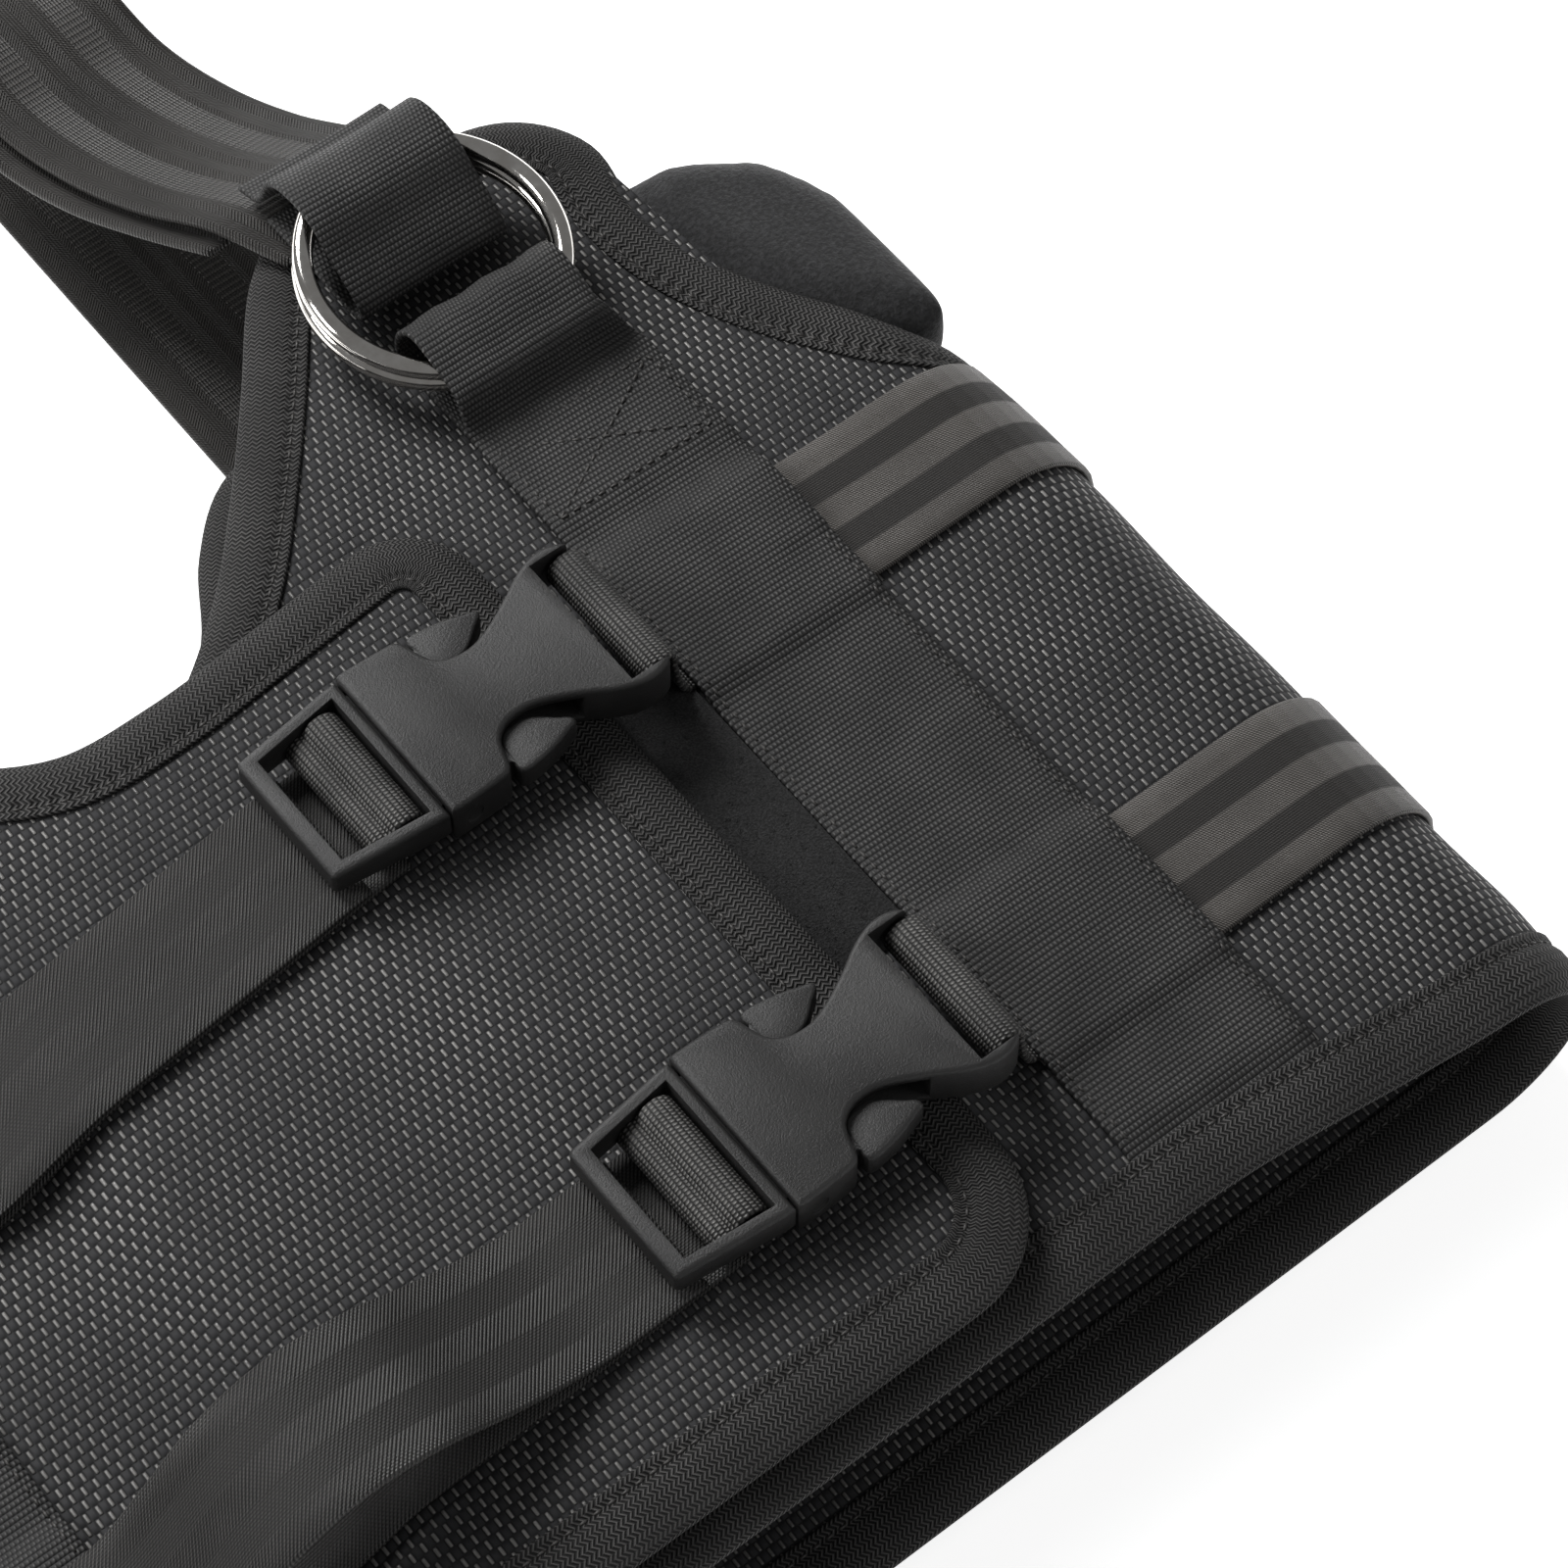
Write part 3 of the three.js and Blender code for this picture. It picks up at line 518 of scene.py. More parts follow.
def ribbed_tape():
    tape = Finish("ribbed_tape", Roughness=0.72, Specular_IOR_Level=0.3)
    u, v = tape.cloth()
    zigzag = ((v / (2.3 * MM)).part() - 0.5).size() * 2
    rib = (u / (1.2 * MM) + zigzag * 0.8) * math.tau
    high = rib.sine() * 0.5 + 0.5
    grain = tape.noise(tape.solid(), 1400, 2)
    worn = tape.noise(tape.solid(), 60, 3).ease(0.3, 0.75)
    # The ribs are real; their pale tops and nearly black hollows are painted highlight and painted
    # shade.
    tone = high ** 1.6 * (0.60 + grain * 0.6) * (0.75 + worn * 0.35)
    tape.feed("Base Color", tape.blend(tone, (0.005, 0.0049, 0.0048), (0.092, 0.089, 0.087)))
    beside = ((v - STITCH_GIRTH * MM).size() / MM).ease(4.5, 0.5)
    pucker = (u / (STITCH_PITCH * MM) * math.tau).sine() * beside
    tape.raise_by(high + grain * 0.25 + pucker * 0.9, 0.42)
    return tape.material


def fine_webbing(name="fine_webbing", rows=1.45, painted_glint=(0.105, 0.102, 0.100), gloss=0.44):
    """Plain webbing: rows across it, broken into painted glints that shift sideways from row to row."""
    web = Finish(name, Roughness=0.5, Specular_IOR_Level=0.45)
    u, v = web.cloth()
    across = u / (rows * MM)
    shifted = v / (rows * 0.74 * MM) + across.floor() * 0.5
    row = (((across.part() - 0.5) * 2) ** 2 * -1 + 1).at_least(0)
    bead = ((shifted * math.tau).sine() * 0.5 + 0.5) ** 1.5
    patch = web.noise(web.solid(), 70, 3).ease(0.25, 0.8)
    grain = web.noise(web.solid(), 2200, 1)
    # The bright beads are painted glints on the near-black webbing.
    tone = row ** 1.5 * (0.12 + bead * 0.88) * (0.35 + patch * 0.55) + grain * 0.04
    web.feed("Base Color", web.blend(tone, (0.004, 0.004, 0.0042), painted_glint))
    web.feed("Roughness", gloss + 0.25 - row * bead * 0.25)
    web.raise_by(row * (0.4 + bead * 0.6) + grain * 0.10, 0.40)
    return web.material


def striped_satin(name, light, dark, sunk, marks, pitch=0.62):
    """Webbing with sunk stripes along it. marks are the middles of the stripes, in millimetres."""
    satin = Finish(name, Roughness=0.42, Specular_IOR_Level=0.35)
    u, v = satin.cloth()
    stripe = None
    for mark in marks:
        near = ((v - mark * MM).size() / MM).ease(4.2, 3.2)
        stripe = near if stripe is None else stripe + near
    twill = ((u / (pitch * MM) + (v / (1.25 * MM)).part()) * math.tau).sine() * 0.5 + 0.5
    rows = ((v / (0.62 * MM)) * math.tau).sine() * 0.5 + 0.5
    patch = satin.noise(satin.solid(), 55, 3).ease(0.25, 0.75)
    lit = satin.blend(twill * (0.55 + rows * 0.45) * (0.75 + patch * 0.35), dark, light)
    low = satin.blend(twill * rows, tuple(c * 0.25 for c in sunk), sunk)
    satin.feed("Base Color", satin.blend(stripe, lit, low))
    satin.feed("Roughness", 0.40 + stripe * 0.22)
    satin.raise_by(twill * (1 - stripe * 0.4) + rows * 0.35, 0.20)
    return satin.material


def herringbone_strap():
    strap = Finish("herringbone_strap", Roughness=0.46, Specular_IOR_Level=0.35)
    u, v = strap.cloth()
    zigzag = ((v / (6.2 * MM)).part() - 0.5).size() * 2
    twill = ((u / (0.95 * MM) + zigzag * 3.2) * math.tau).sine() * 0.5 + 0.5
    rows = ((v / (0.8 * MM)) * math.tau).sine() * 0.5 + 0.5
    patch = strap.noise(strap.solid(), 40, 3).ease(0.25, 0.75)
    beside = ((v.size() / MM - 10).size()).ease(4.2, 3.4)
    bars = ((u / (2.0 * MM)) * math.tau).sine().ease(-0.2, 0.5)
    ladder = beside * bars
    tone = (twill * 0.7 + rows * 0.3) * (0.65 + patch * 0.45) * (1 - beside * 0.5) + ladder * 0.45
    strap.feed("Base Color", strap.blend(tone, (0.004, 0.0038, 0.0036), (0.060, 0.056, 0.052)))
    strap.raise_by(twill * (1 - beside) + rows * 0.4 + ladder, 0.26)
    return strap.material


# %% [markdown]
# ## Pile, plastic, metal and thread
# Felt and touch fastener are pile: many scales of noise, and a faint sheen. The buckles are moulded
# in a fine-grained mould, so they are satin with a tiny texture. The rings are polished nickel.

# %% Other finishes
def felt(name, low, high, sheen, scale):
    pile = Finish(name, Roughness=0.95, Sheen_Weight=sheen, Sheen_Roughness=0.5)
    where = pile.solid()
    fuzz = pile.noise(where, scale, 4, 0.65)
    clump = pile.noise(where, scale / 6, 3)
    tone = fuzz.ease(0.36, 0.72) * (0.5 + clump * 0.8)
    pile.feed("Base Color", pile.blend(tone, low, high))
    pile.raise_by(fuzz + clump * 0.8, 0.45)
    return pile.material


def moulded():
    plastic = Finish("moulded_plastic", Roughness=0.42)
    where = plastic.solid()
    grain = plastic.noise(where, 2300, 3, 0.65)
    cloud = plastic.noise(where, 70, 2)
    shade = plastic.blend(cloud.ease(0.3, 0.7), (0.014, 0.0135, 0.0135), (0.022, 0.0215, 0.021))
    plastic.feed("Base Color", shade)
    plastic.feed("Roughness", 0.38 + grain * 0.20)
    plastic.raise_by(grain, 0.22, 0.8)
    return plastic.material


def nickel():
    metal = Finish("nickel", Metallic=1.0, Roughness=0.14)
    where = metal.solid()
    rub = metal.noise(where, 160, 4, 0.6)
    metal.feed("Base Color", metal.blend(rub.ease(0.3, 0.7), (0.70, 0.67, 0.63), (0.84, 0.82, 0.79)))
    metal.feed("Roughness", 0.08 + rub.ease(0.45, 0.8) * 0.12)
    metal.raise_by(rub, 0.02, 0.3)
    return metal.material


def sewing_thread():
    thread = Finish("sewing_thread", Roughness=0.5)
    twist = thread.noise(thread.solid(), 1800, 1)
    thread.feed("Base Color", thread.blend(twist, (0.012, 0.012, 0.012), (0.075, 0.070, 0.066)))
    thread.raise_by(twist, 0.08)
    return thread.material


COVER = woven_cover()
TAPE = ribbed_tape()
WEBBING = fine_webbing()
# The rolled webbing's bright colour is a stronger painted glint.
ROLL = fine_webbing("rolled_webbing", 1.25, (0.27, 0.262, 0.25), 0.28)
SATIN = striped_satin("band_satin", light=(0.215, 0.201, 0.188), dark=(0.030, 0.0275, 0.0255),
                      sunk=(0.052, 0.048, 0.045), marks=(-7.6, 7.6))
BELT_SATIN = striped_satin("belt_satin", light=(0.080, 0.077, 0.074), dark=(0.003, 0.003, 0.003),
                           sunk=(0.052, 0.050, 0.048), marks=(-7.2, 7.2), pitch=1.05)
STRAP_WEAVE = herringbone_strap()
FELT = felt("roll_felt", (0.006, 0.006, 0.0065), (0.030, 0.030, 0.032), 0.25, 900)
FASTENER = felt("touch_fastener", (0.001, 0.001, 0.001), (0.030, 0.030, 0.031), 0.05, 1900)
FOAM = felt("foam", (0.03, 0.03, 0.032), (0.07, 0.07, 0.075), 0.0, 500)
PLASTIC = moulded()
NICKEL = nickel()
THREAD = sewing_thread()
print("finishes:", len(bpy.data.materials))

# %% [markdown]
# ## The padded panel
# Three layers make it: the woven cover, the foam and the woven lining. They share one grid on the
# flat pattern, cut to the neck, the shoulders and the armholes by ending each column at the edge.

# %% Panel layers
def edge_at(line, u):
    """The highest point of an edge above one place on the pattern, or None."""
    crossings = []
    for a, b in zip(line, line[1:]):
        if min(a.x, b.x) <= u <= max(a.x, b.x):
            share = (u - a.x) / (b.x - a.x) if b.x != a.x else 0
            crossings.append(a.y + (b.y - a.y) * share)
    return max(crossings, default=None)


def panel_top(u):
    if u < NECK[0][0]:
        return NECK[0][1]
    names = ("neck_left", "armhole_left", "neck_back", "armhole_right")
    heights = [edge_at(EDGES[name][0], u) for name in names]
    heights = [y for y in heights if y is not None]
    if u > FLAP_ORIGIN - 115:
        flap_top = edge_at([p for p in EDGES["flap"][0] if p.y > 150], u)
        heights = [flap_top if flap_top is not None else HEAD_Y]
    return max(heights) if heights else SHOULDER_Y


def panel_bottom(u):
    into_foot = u - (FLAP_ORIGIN + FLAP_EDGE_X - FOOT_R)
    if into_foot > 0:
        return HEM_Y + FOOT_R - math.sqrt(FOOT_R ** 2 - min(FOOT_R, into_foot) ** 2)
    return hem_height(u)


TUCK = 1.2        # the layers end this far inside the folded tape
CELL = 3.6        # the grid's step round the body
ROWS = 84
first_u, last_u = INNER_EDGE_X + TUCK, FLAP_ORIGIN + FLAP_EDGE_X - TUCK
columns = round((last_u - first_u) / CELL) + 1
column_u = [first_u + (last_u - first_u) * i / (columns - 1) for i in range(columns)]
column_ends = [(panel_bottom(u) + TUCK, panel_top(u) - TUCK) for u in column_u]


def panel_layer(outer, inner):
    """One layer between two depths, as a closed sheet."""
    stack = [(outer, k) for k in range(ROWS)] + [(inner, k) for k in reversed(range(ROWS))]

    def spot(i, k):
        depth, row = stack[k % len(stack)]
        low, high = column_ends[i]
        return column_u[i], low + (high - low) * row / (ROWS - 1), depth

    def mapped(i, k):
        u, y, _ = spot(i, k)
        return (u * MM, y * MM)

    return grid_mesh(columns, len(stack), lambda i, k: wrap(*spot(i, k)), mapped, True)


column_step = (last_u - first_u) / (columns - 1)
flat_area = sum((high - low) * column_step for low, high in column_ends) * MM * MM
padding = piece("padding", panel_layer(1.15, 4.85), FOAM, instead=["wrap_foam"])
cover = piece("cover", panel_layer(0, 0.9), COVER, instead=["wrap_shell"])
lining = piece("lining", panel_layer(5.1, 6), COVER, instead=["wrap_lining"])
print("panel:", columns, "columns, flat area", round(flat_area, 3), "m2")

# %% [markdown]
# ## Bound edges
# A tape is folded over each raw edge and sewn through. Its section is a flat hook: down to the stitch
# line, up over a soft ridge, round the edge and back. The section is drawn once and carried along
# every edge, always in the panel's own depth, so it hugs the padding.

# %% Binding
TAPE_WIDE = 13.5      # from the panel's edge to the tape's inner edge
STITCH_LINE = TAPE_WIDE - 2.8
hook = [(TAPE_WIDE, -0.15), (TAPE_WIDE, -0.75), (TAPE_WIDE - 0.5, -1.0), (TAPE_WIDE - 1.6, -0.95),
        (STITCH_LINE, -0.45), (TAPE_WIDE - 4.0, -1.0), (8.0, -1.45), (5.5, -1.55), (3.0, -1.30),
        (1.0, -0.65), (-0.8, 0.45), (-1.9, 1.75)]
TAPE_SECTION = hook + [(-2.2, WALL / 2)] + [(d, WALL - depth) for d, depth in reversed(hook)]
TAPE_SECTION += [(1.0, WALL - 1.2), (0.2, WALL / 2), (1.0, 1.2)]


def inwards_of(name):
    """The way into the panel, on the flat pattern, at each point of an edge."""
    line, inside = EDGES[name]
    ways = [heading(line, i) for i in range(len(line))]
    return [Vector((-way.y, way.x)) * inside for way in ways]


def bound_edge(name, instead):
    line, _ = EDGES[name]
    run = lengths_along(line)
    girth = lengths_along([Vector(corner) for corner in TAPE_SECTION])
    inwards = inwards_of(name)

    def where(i, k):
        d, depth = TAPE_SECTION[k]
        spot = line[i] + inwards[i] * d
        ease = wrap(spot.x, spot.y, 0 if depth < WALL / 2 else WALL)
        if 0 <= depth <= WALL:
            return wrap(spot.x, spot.y, depth)
        over = wrap(spot.x, spot.y, -1 if depth < 0 else WALL)
        push = (over - wrap(spot.x, spot.y, WALL / 2)).normalized()
        return ease + push * (-depth if depth < 0 else depth - WALL) * MM

    def mapped(i, k):
        return (run[i] * MM, girth[min(k, len(girth) - 1)] * MM)

    bm = grid_mesh(len(line), len(TAPE_SECTION), where, mapped, True)
    return piece(f"tape_{name}", bm, TAPE, instead=instead)


for name in EDGES:
    bound_edge(name, [f"binding_{name}"])
print("bound edges:", len(EDGES))

# %% [markdown]
# ## Stitches
# A stitch is a short bar of thread that dips in at both ends. There are hundreds, so each one is a
# stretched icosphere of twenty faces, laid along its seam.

# %% Stitches
stitch_mesh = bmesh.new()
STITCH, STITCH_GAP, THREAD_R = 2.5, 1.0, 0.42


def stitch(start, stop, out):
    """One stitch between two points, on a surface that faces out."""
    along = (stop - start).normalized()
    wide = out.cross(along).normalized()
    turn = Matrix((along, wide, along.cross(wide))).transposed().to_4x4()
    size = Matrix.Diagonal(((stop - start).length / 2, THREAD_R * MM, THREAD_R * 0.62 * MM, 1))
    spot = Matrix.Translation((start + stop) / 2)
    bmesh.ops.create_icosphere(stitch_mesh, subdivisions=1, radius=1, matrix=spot @ turn @ size)


def seam(line, out):
    """Stitches along a line of points in metres. out(point index) is the way the surface faces."""
    run = lengths_along(line)
    step = (STITCH + STITCH_GAP) * MM
    starts = [n * step for n in range(int(run[-1] / step))]
    found = points_at(line, run, [s for start in starts for s in (start, start + STITCH * MM)])
    for (start, _), (stop, k) in zip(found[::2], found[1::2]):
        stitch(start, stop, out(k))


for name, (line, _) in EDGES.items():
    spots = [p + inwards * STITCH_LINE for p, inwards in zip(line, inwards_of(name))]
    for depth, way in ((-0.62, -1), (WALL, 1)):
        outer = [wrap(p.x, p.y, depth) for p in spots]
        core = [wrap(p.x, p.y, WALL / 2) for p in spots]
        if depth > 0:
            outer = [o + (o - c).normalized() * 0.6 * MM for o, c in zip(outer, core)]
        seam(outer, lambda k, outer=outer, core=core: outer[k] - core[k])
print("binding stitches:", len(stitch_mesh.faces) // 20)

# %% [markdown]
# ## Touch fastener
# The strip that the flap closes on has a nap of tiny loops. They are several hundred bent hairs,
# because their outline shows at the strip's edge. The hook strip is hidden under the flap, so it
# stays plain.

# %% Fastener strips
def bevel_edges(bm, edges, width, steps):
    bmesh.ops.bevel(bm, geom=edges, offset=width, affect="EDGES", segments=steps, profile=0.5,
                    material=-1)


def slab(low, high, soft):
    """A block between two corners in metres, with its edges rounded."""
    bm = bmesh.new()
    bmesh.ops.create_cube(bm, size=1)
    for v in bm.verts:
        v.co = [low[i] + (v.co[i] + 0.5) * (high[i] - low[i]) for i in range(3)]
    bevel_edges(bm, bm.edges, soft, 2)
    return bm


UPRIGHT = Matrix.Rotation(math.pi / 2, 4, "X")


def nap(bm, low, high, count, rng):
    """Bent hairs that stand on the top of a strip."""
    hair_start = Matrix.Translation((0.42 * MM, 0, 0)) @ UPRIGHT
    for _ in range(count):
        x, y = rng.uniform(low.x, high.x), rng.uniform(low.y, high.y)
        turn = Matrix.Rotation(rng.uniform(0, math.tau), 4, "Z") @ UPRIGHT
        grown = Matrix.Scale(rng.uniform(0.7, 1.3), 4)
        seat = Matrix.Translation((x, y, high.z - 0.12 * MM)) @ turn @ grown
        ring = bmesh.ops.create_circle(bm, segments=3, radius=0.07 * MM, matrix=hair_start)
        profile = ring["verts"] + list({e for v in ring["verts"] for e in v.link_edges})
        bmesh.ops.spin(bm, geom=profile, cent=(0, 0, 0), axis=(0, 0, 1), angle=math.pi, steps=4)
        hair = set(ring["verts"])
        grow = list(hair)
        while grow:
            v = grow.pop()
            for e in v.link_edges:
                other = e.other_vert(v)
                if other not in hair:
                    hair.add(other)
                    grow.append(other)
        bmesh.ops.transform(bm, matrix=seat, verts=list(hair))


rng = random.Random(7)
for node, count in (("loop_strip", 900), ("hook_strip", 0)):
    low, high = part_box(node)
    if node == "loop_strip":
        low, high = low - Vector((0, 6 * MM, 0)), high + Vector((1.3 * MM, 13 * MM, 0))
    strip = slab(low, high, 0.3 * MM)
    margin = Vector((MM, MM, 0))
    nap(strip, low + margin, high - margin, count, rng)
    bmesh.ops.recalc_face_normals(strip, faces=strip.faces)
    piece(f"{node}_nap", strip, FASTENER, instead=[node])
print("fastener strips made")

# %% [markdown]
# ## Body webbing
# Wide webbing runs up each front, over both rings and back under itself, where a box with a cross
# holds it. Where the side bands pass underneath, it rides a little higher.

# %% Front webbing
near_y = RING_CENTRE.y - RING_R * math.cos(RING_TILT)
near_z = RING_CENTRE.z - RING_R * math.sin(RING_TILT)
far_y = RING_CENTRE.y + RING_R * math.cos(RING_TILT)
far_z = RING_CENTRE.z + RING_R * math.sin(RING_TILT)
clear = WIRE_R + WEB / 2 + 0.6        # from a wire's middle to the middle of the tape over it
ring_up = RING_STEP * math.cos(RING_TILT)
IN_RING = 42          # the webbing's width where it is gathered in the rings
LAID_Z = BODY_TOP + 0.3 + WEB / 2     # the middle of webbing that lies on the front


def web_hem(side, x):
    return hem_height(x if side > 0 else FLAP_ORIGIN - x)


def web_lift(side, x, y):
    """Height of the body webbing's middle above the cover. Its end is tucked under the hem's tape."""
    lift = 1.15 - 1.6 * (1 - step_up(y - web_hem(side, x), TAPE_WIDE - 1.5, TAPE_WIDE + 6.5))
    for middle in BELT_LINES.values():
        lift += 1.85 * step_up(BAND / 2 + 7 - abs(y - middle), 0, 7)
    return min(3.0, lift + 1.85 * step_up(y, 190, 199))


def on_front(side, x, y, lift):
    """A point above one front. side is 1 for the wearer's left."""
    return wrap(x if side > 0 else FLAP_ORIGIN - x, y, -lift)


def front_run(side):
    """The middle of the front webbing, from the hem to the box, in metres."""
    start = near_y - 17
    count = 80
    low_end = web_hem(side, WEB_X) + 5
    rise = [low_end + (start - low_end) * i / count for i in range(count + 1)]
    flat = [on_front(side, WEB_X, y, web_lift(side, WEB_X, y)) for y in rise]
    over = near_z + ring_up + clear
    hump = [(-11, LAID_Z + 3.2), (-5.5, over - 2.4), (0, over), (6, over + 2.2), (12.5, over + 2.6),
            (17.5, over - 2), (19.3, over - 8.5), (18.5, LAID_Z + 2.2), (15, LAID_Z)]
    loop = [place(side * WEB_X, near_y + y, z) for y, z in hump] + [place(side * WEB_X, 200, LAID_Z)]
    return even(flat[:-2] + smooth([flat[-2]] + loop, 1.2 * MM)[1:], 1.6 * MM)


def front_webbing(side, name):
    line = front_run(side)
    section = tape_section(WIDE, WEB, 12)
    run = lengths_along(line)

    def where(i, k):
        a, b = section[k]
        y = (line[i].y - ZERO_Y) / MM
        high = line[i].z / MM
        narrow = step_up(y, near_y - 14, near_y - 2)
        if high < BODY_TOP + 4 and run[i] > run[-1] - 46 * MM:
            narrow = 1
        a *= 1 + (IN_RING / WIDE - 1) * narrow
        x = WEB_X + narrow * -3
        up = SIDEWAYS.cross(heading(line, i)).normalized()
        if y < near_y - 17 and run[i] < run[-1] / 2:
            level = on_front(side, x + a, y, web_lift(side, x + a, y))
            return level + Vector((0, 0, b * MM))
        ripple = 0.35 * math.sin(a * 0.42) * narrow
        return line[i] + Vector((side * (x + a - WEB_X) * MM, 0, 0)) + up * (b + ripple) * MM

    def mapped(i, k):
        return (run[i], section[k % len(section)][0] * MM)

    bm = grid_mesh(len(line), len(section), where, mapped, True)
    return piece(f"body_webbing_{name}", bm, WEBBING, instead=[f"front_webbing_{name}"])


SIDES = ((1, "left"), (-1, "right"))
for side, name in SIDES:
    front_webbing(side, name)
print("front webbing made")

# %% [markdown]
# ## Ring tapes
# A second tape, sewn to the shoulder, comes down through both rings from above. It is a loop: over
# the wires, down inside the rings and back.

# %% Ring tapes
def ring_tape(side, name):
    over = far_z + ring_up + clear
    marks = [(20, 62.4), (12, 66), (6, over - 4), (-1, over), (-11, over - 0.4), (-20, over - 7),
             (-28, 68.5), (-30.5, 64.6), (-27.5, 61.7), (-20, 61.5), (-6, 62.4), (8, 61.9)]
    line = smooth([place(side * RING_CENTRE.x, far_y + y, z) for y, z in marks], 1.4 * MM)
    bm = tape_mesh(line, IN_RING, WEB, crown=0.5)
    return piece(f"shoulder_tape_{name}", bm, WEBBING, instead=[f"ring_tape_{name}"])


for side, name in SIDES:
    ring_tape(side, name)
print("ring tapes made")

# %% [markdown]
# ## Shoulder straps
# Each strap leaves the rings in two layers, turns over at the far end of its loop and runs down the
# whole back. It is stiff webbing, so it turns in wide bends.

# %% Straps
hem_end = HEM_Y - SIDE_HEM_DROP + 2
LOOP_Y = 452          # the far end of a strap's loop
under_back = WEB / 2
STRAP_RUN = [(130, far_y - 4, 59.2), (122, 318, 57.6), (114, 338, 51), (108, 360, 45.5),
             (104, 384, 43)]
turn_over = [(408, 45.5), (LOOP_Y - 22, 44), (LOOP_Y - 8, 38.5), (LOOP_Y, 27), (LOOP_Y - 4, 14),
             (LOOP_Y - 16, 5.5), (LOOP_Y - 36, 1.4), (LOOP_Y - 56, under_back)]
down_back = [(250, under_back), (100, under_back), (hem_end, under_back)]
STRAP_RUN += [(STRAP_X, y, z) for y, z in turn_over + down_back]
LINING_RUN = [(119, 314, 54.4), (111, 334, 48.2), (104, 356, 42), (99, 380, 39), (97, 404, 41),
              (97, 426, 40)]
for side, name in SIDES:
    for part, node, marks in (("strap", "shoulder_strap", STRAP_RUN),
                              ("strap_underlay", "shoulder_strap_lining", LINING_RUN)):
        line = smooth([place(side * x, y, z) for x, y, z in marks], 3 * MM)
        bm = tape_mesh(line, STRAP, WEB)
        piece(f"{part}_{name}", bm, STRAP_WEAVE, instead=[f"{node}_{name}"])
print("straps made")

# %% [markdown]
# ## Rings
# A ring is a circle of wire spun once round its centre. The full spin merges its two ends.

# %% Rings
def ring(side, name, level, step):
    centre = RING_CENTRE + Vector((0, -math.sin(RING_TILT), math.cos(RING_TILT))) * RING_STEP * step
    bm = bmesh.new()
    wire = bmesh.ops.create_circle(bm, segments=20, radius=WIRE_R * MM, matrix=UPRIGHT)
    bmesh.ops.translate(bm, verts=wire["verts"], vec=(RING_R * MM, 0, 0))
    bmesh.ops.spin(bm, geom=bm.verts[:] + bm.edges[:], cent=(0, 0, 0), axis=(0, 0, 1),
                   angle=math.tau, steps=96, use_merge=True)
    bmesh.ops.remove_doubles(bm, verts=bm.verts, dist=1e-6)
    bmesh.ops.recalc_face_normals(bm, faces=bm.faces)
    seat = Matrix.Translation(place(side * centre.x, centre.y, centre.z))
    bmesh.ops.transform(bm, matrix=seat @ Matrix.Rotation(RING_TILT, 4, "X"), verts=bm.verts)
    return piece(f"steel_ring_{name}_{level}", bm, NICKEL, body=f"{name}_{level}_ring",
                 instead=[f"ring_{name}_{level}"])


for side, name in SIDES:
    for step, level in enumerate(("lower", "upper")):
        ring(side, name, level, step)
print("rings made")

# %% [markdown]
# ## Side bands
# Two bands of satin webbing hug the body from one front webbing round the back to the other. They
# are laid on the flat pattern and wrapped with the panel.

# %% Side bands
def side_band(level, middle):
    start, stop = WEB_X + 5, FLAP_ORIGIN - WEB_X - 5
    count = round((stop - start) / 4)
    section = tape_section(BAND, WEB, 10)

    def where(i, k):
        a, b = section[k]
        return wrap(start + (stop - start) * i / count, middle + a, -(1.15 + b))

    def mapped(i, k):
        return ((stop - start) * i / count * MM, section[k % len(section)][0] * MM)

    bm = grid_mesh(count + 1, len(section), where, mapped, True)
    return piece(f"satin_band_{level}", bm, SATIN, instead=[f"side_band_{level}"])


for level, middle in BELT_LINES.items():
    side_band(level, middle)
print("side bands made")

# %% [markdown]
# ## Belts
# Each belt is sewn under the right front webbing, crosses the flap and turns round the bar in its
# buckle's plug. Its free end comes back on top. The lower one is longer and stands up in a bow.

# %% Belts
DRIFT = {"upper": (0.115, -6), "lower": (0.03, -3)}      # each belt's slope and shift
anchor_z, tail_z = FLAP_TOP + 1.2, FLAP_TOP + 3.0
TAILS = {
    "upper": [(x, tail_z) for x in (20, 0, -20, -40)] + [
        (-56, tail_z - 0.4), (-70, 64.2), (-82, 61.4), (-104, 61.0)],
    "lower": [(20, tail_z), (6, tail_z), (-8, tail_z + 1), (-28, 76), (-48, 86), (-66, 89.5),
              (-82, 85), (-96, 74), (-108, 65.5), (-124, 62.6)],
}
ANCHOR = [(x, anchor_z) for x in (31, 20, -10, -54)] + [
    (-66, anchor_z - 4), (-80, 57.6), (-100, 57.2), (-130, 57.1)]


def belt(level, part, marks, node):
    slope, shift = DRIFT[level]
    middle = BELT_LINES[level] + shift
    line = smooth([place(x, middle + slope * x, z) for x, z in marks], 2 * MM)
    if part == "belt":
        flats = []
        for p in line:
            surface = wrap(FLAP_ORIGIN + p.x / MM, (p.y - ZERO_Y) / MM, -1.25)
            flats.append(Vector((p.x, p.y, surface.z)))
        line = flats
    bm = tape_mesh(line, BELT, BELT_WEB, UPWARDS)
    obj = piece(f"{part}_{level}", bm, BELT_SATIN, body=None, instead=[node])
    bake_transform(obj)
    return obj


for level in BELT_LINES:
    belt(level, "belt_run", ANCHOR, f"belt_{level}")
    belt(level, "belt_end", TAILS[level], f"belt_tail_{level}")
print("belts made")

# %% [markdown]
# ## Buckles
# A moulded part starts as its outline, pushed up into a solid. Slots are cut with booleans, and a
# bevel on every edge gives the soft moulded rim that catches the light.

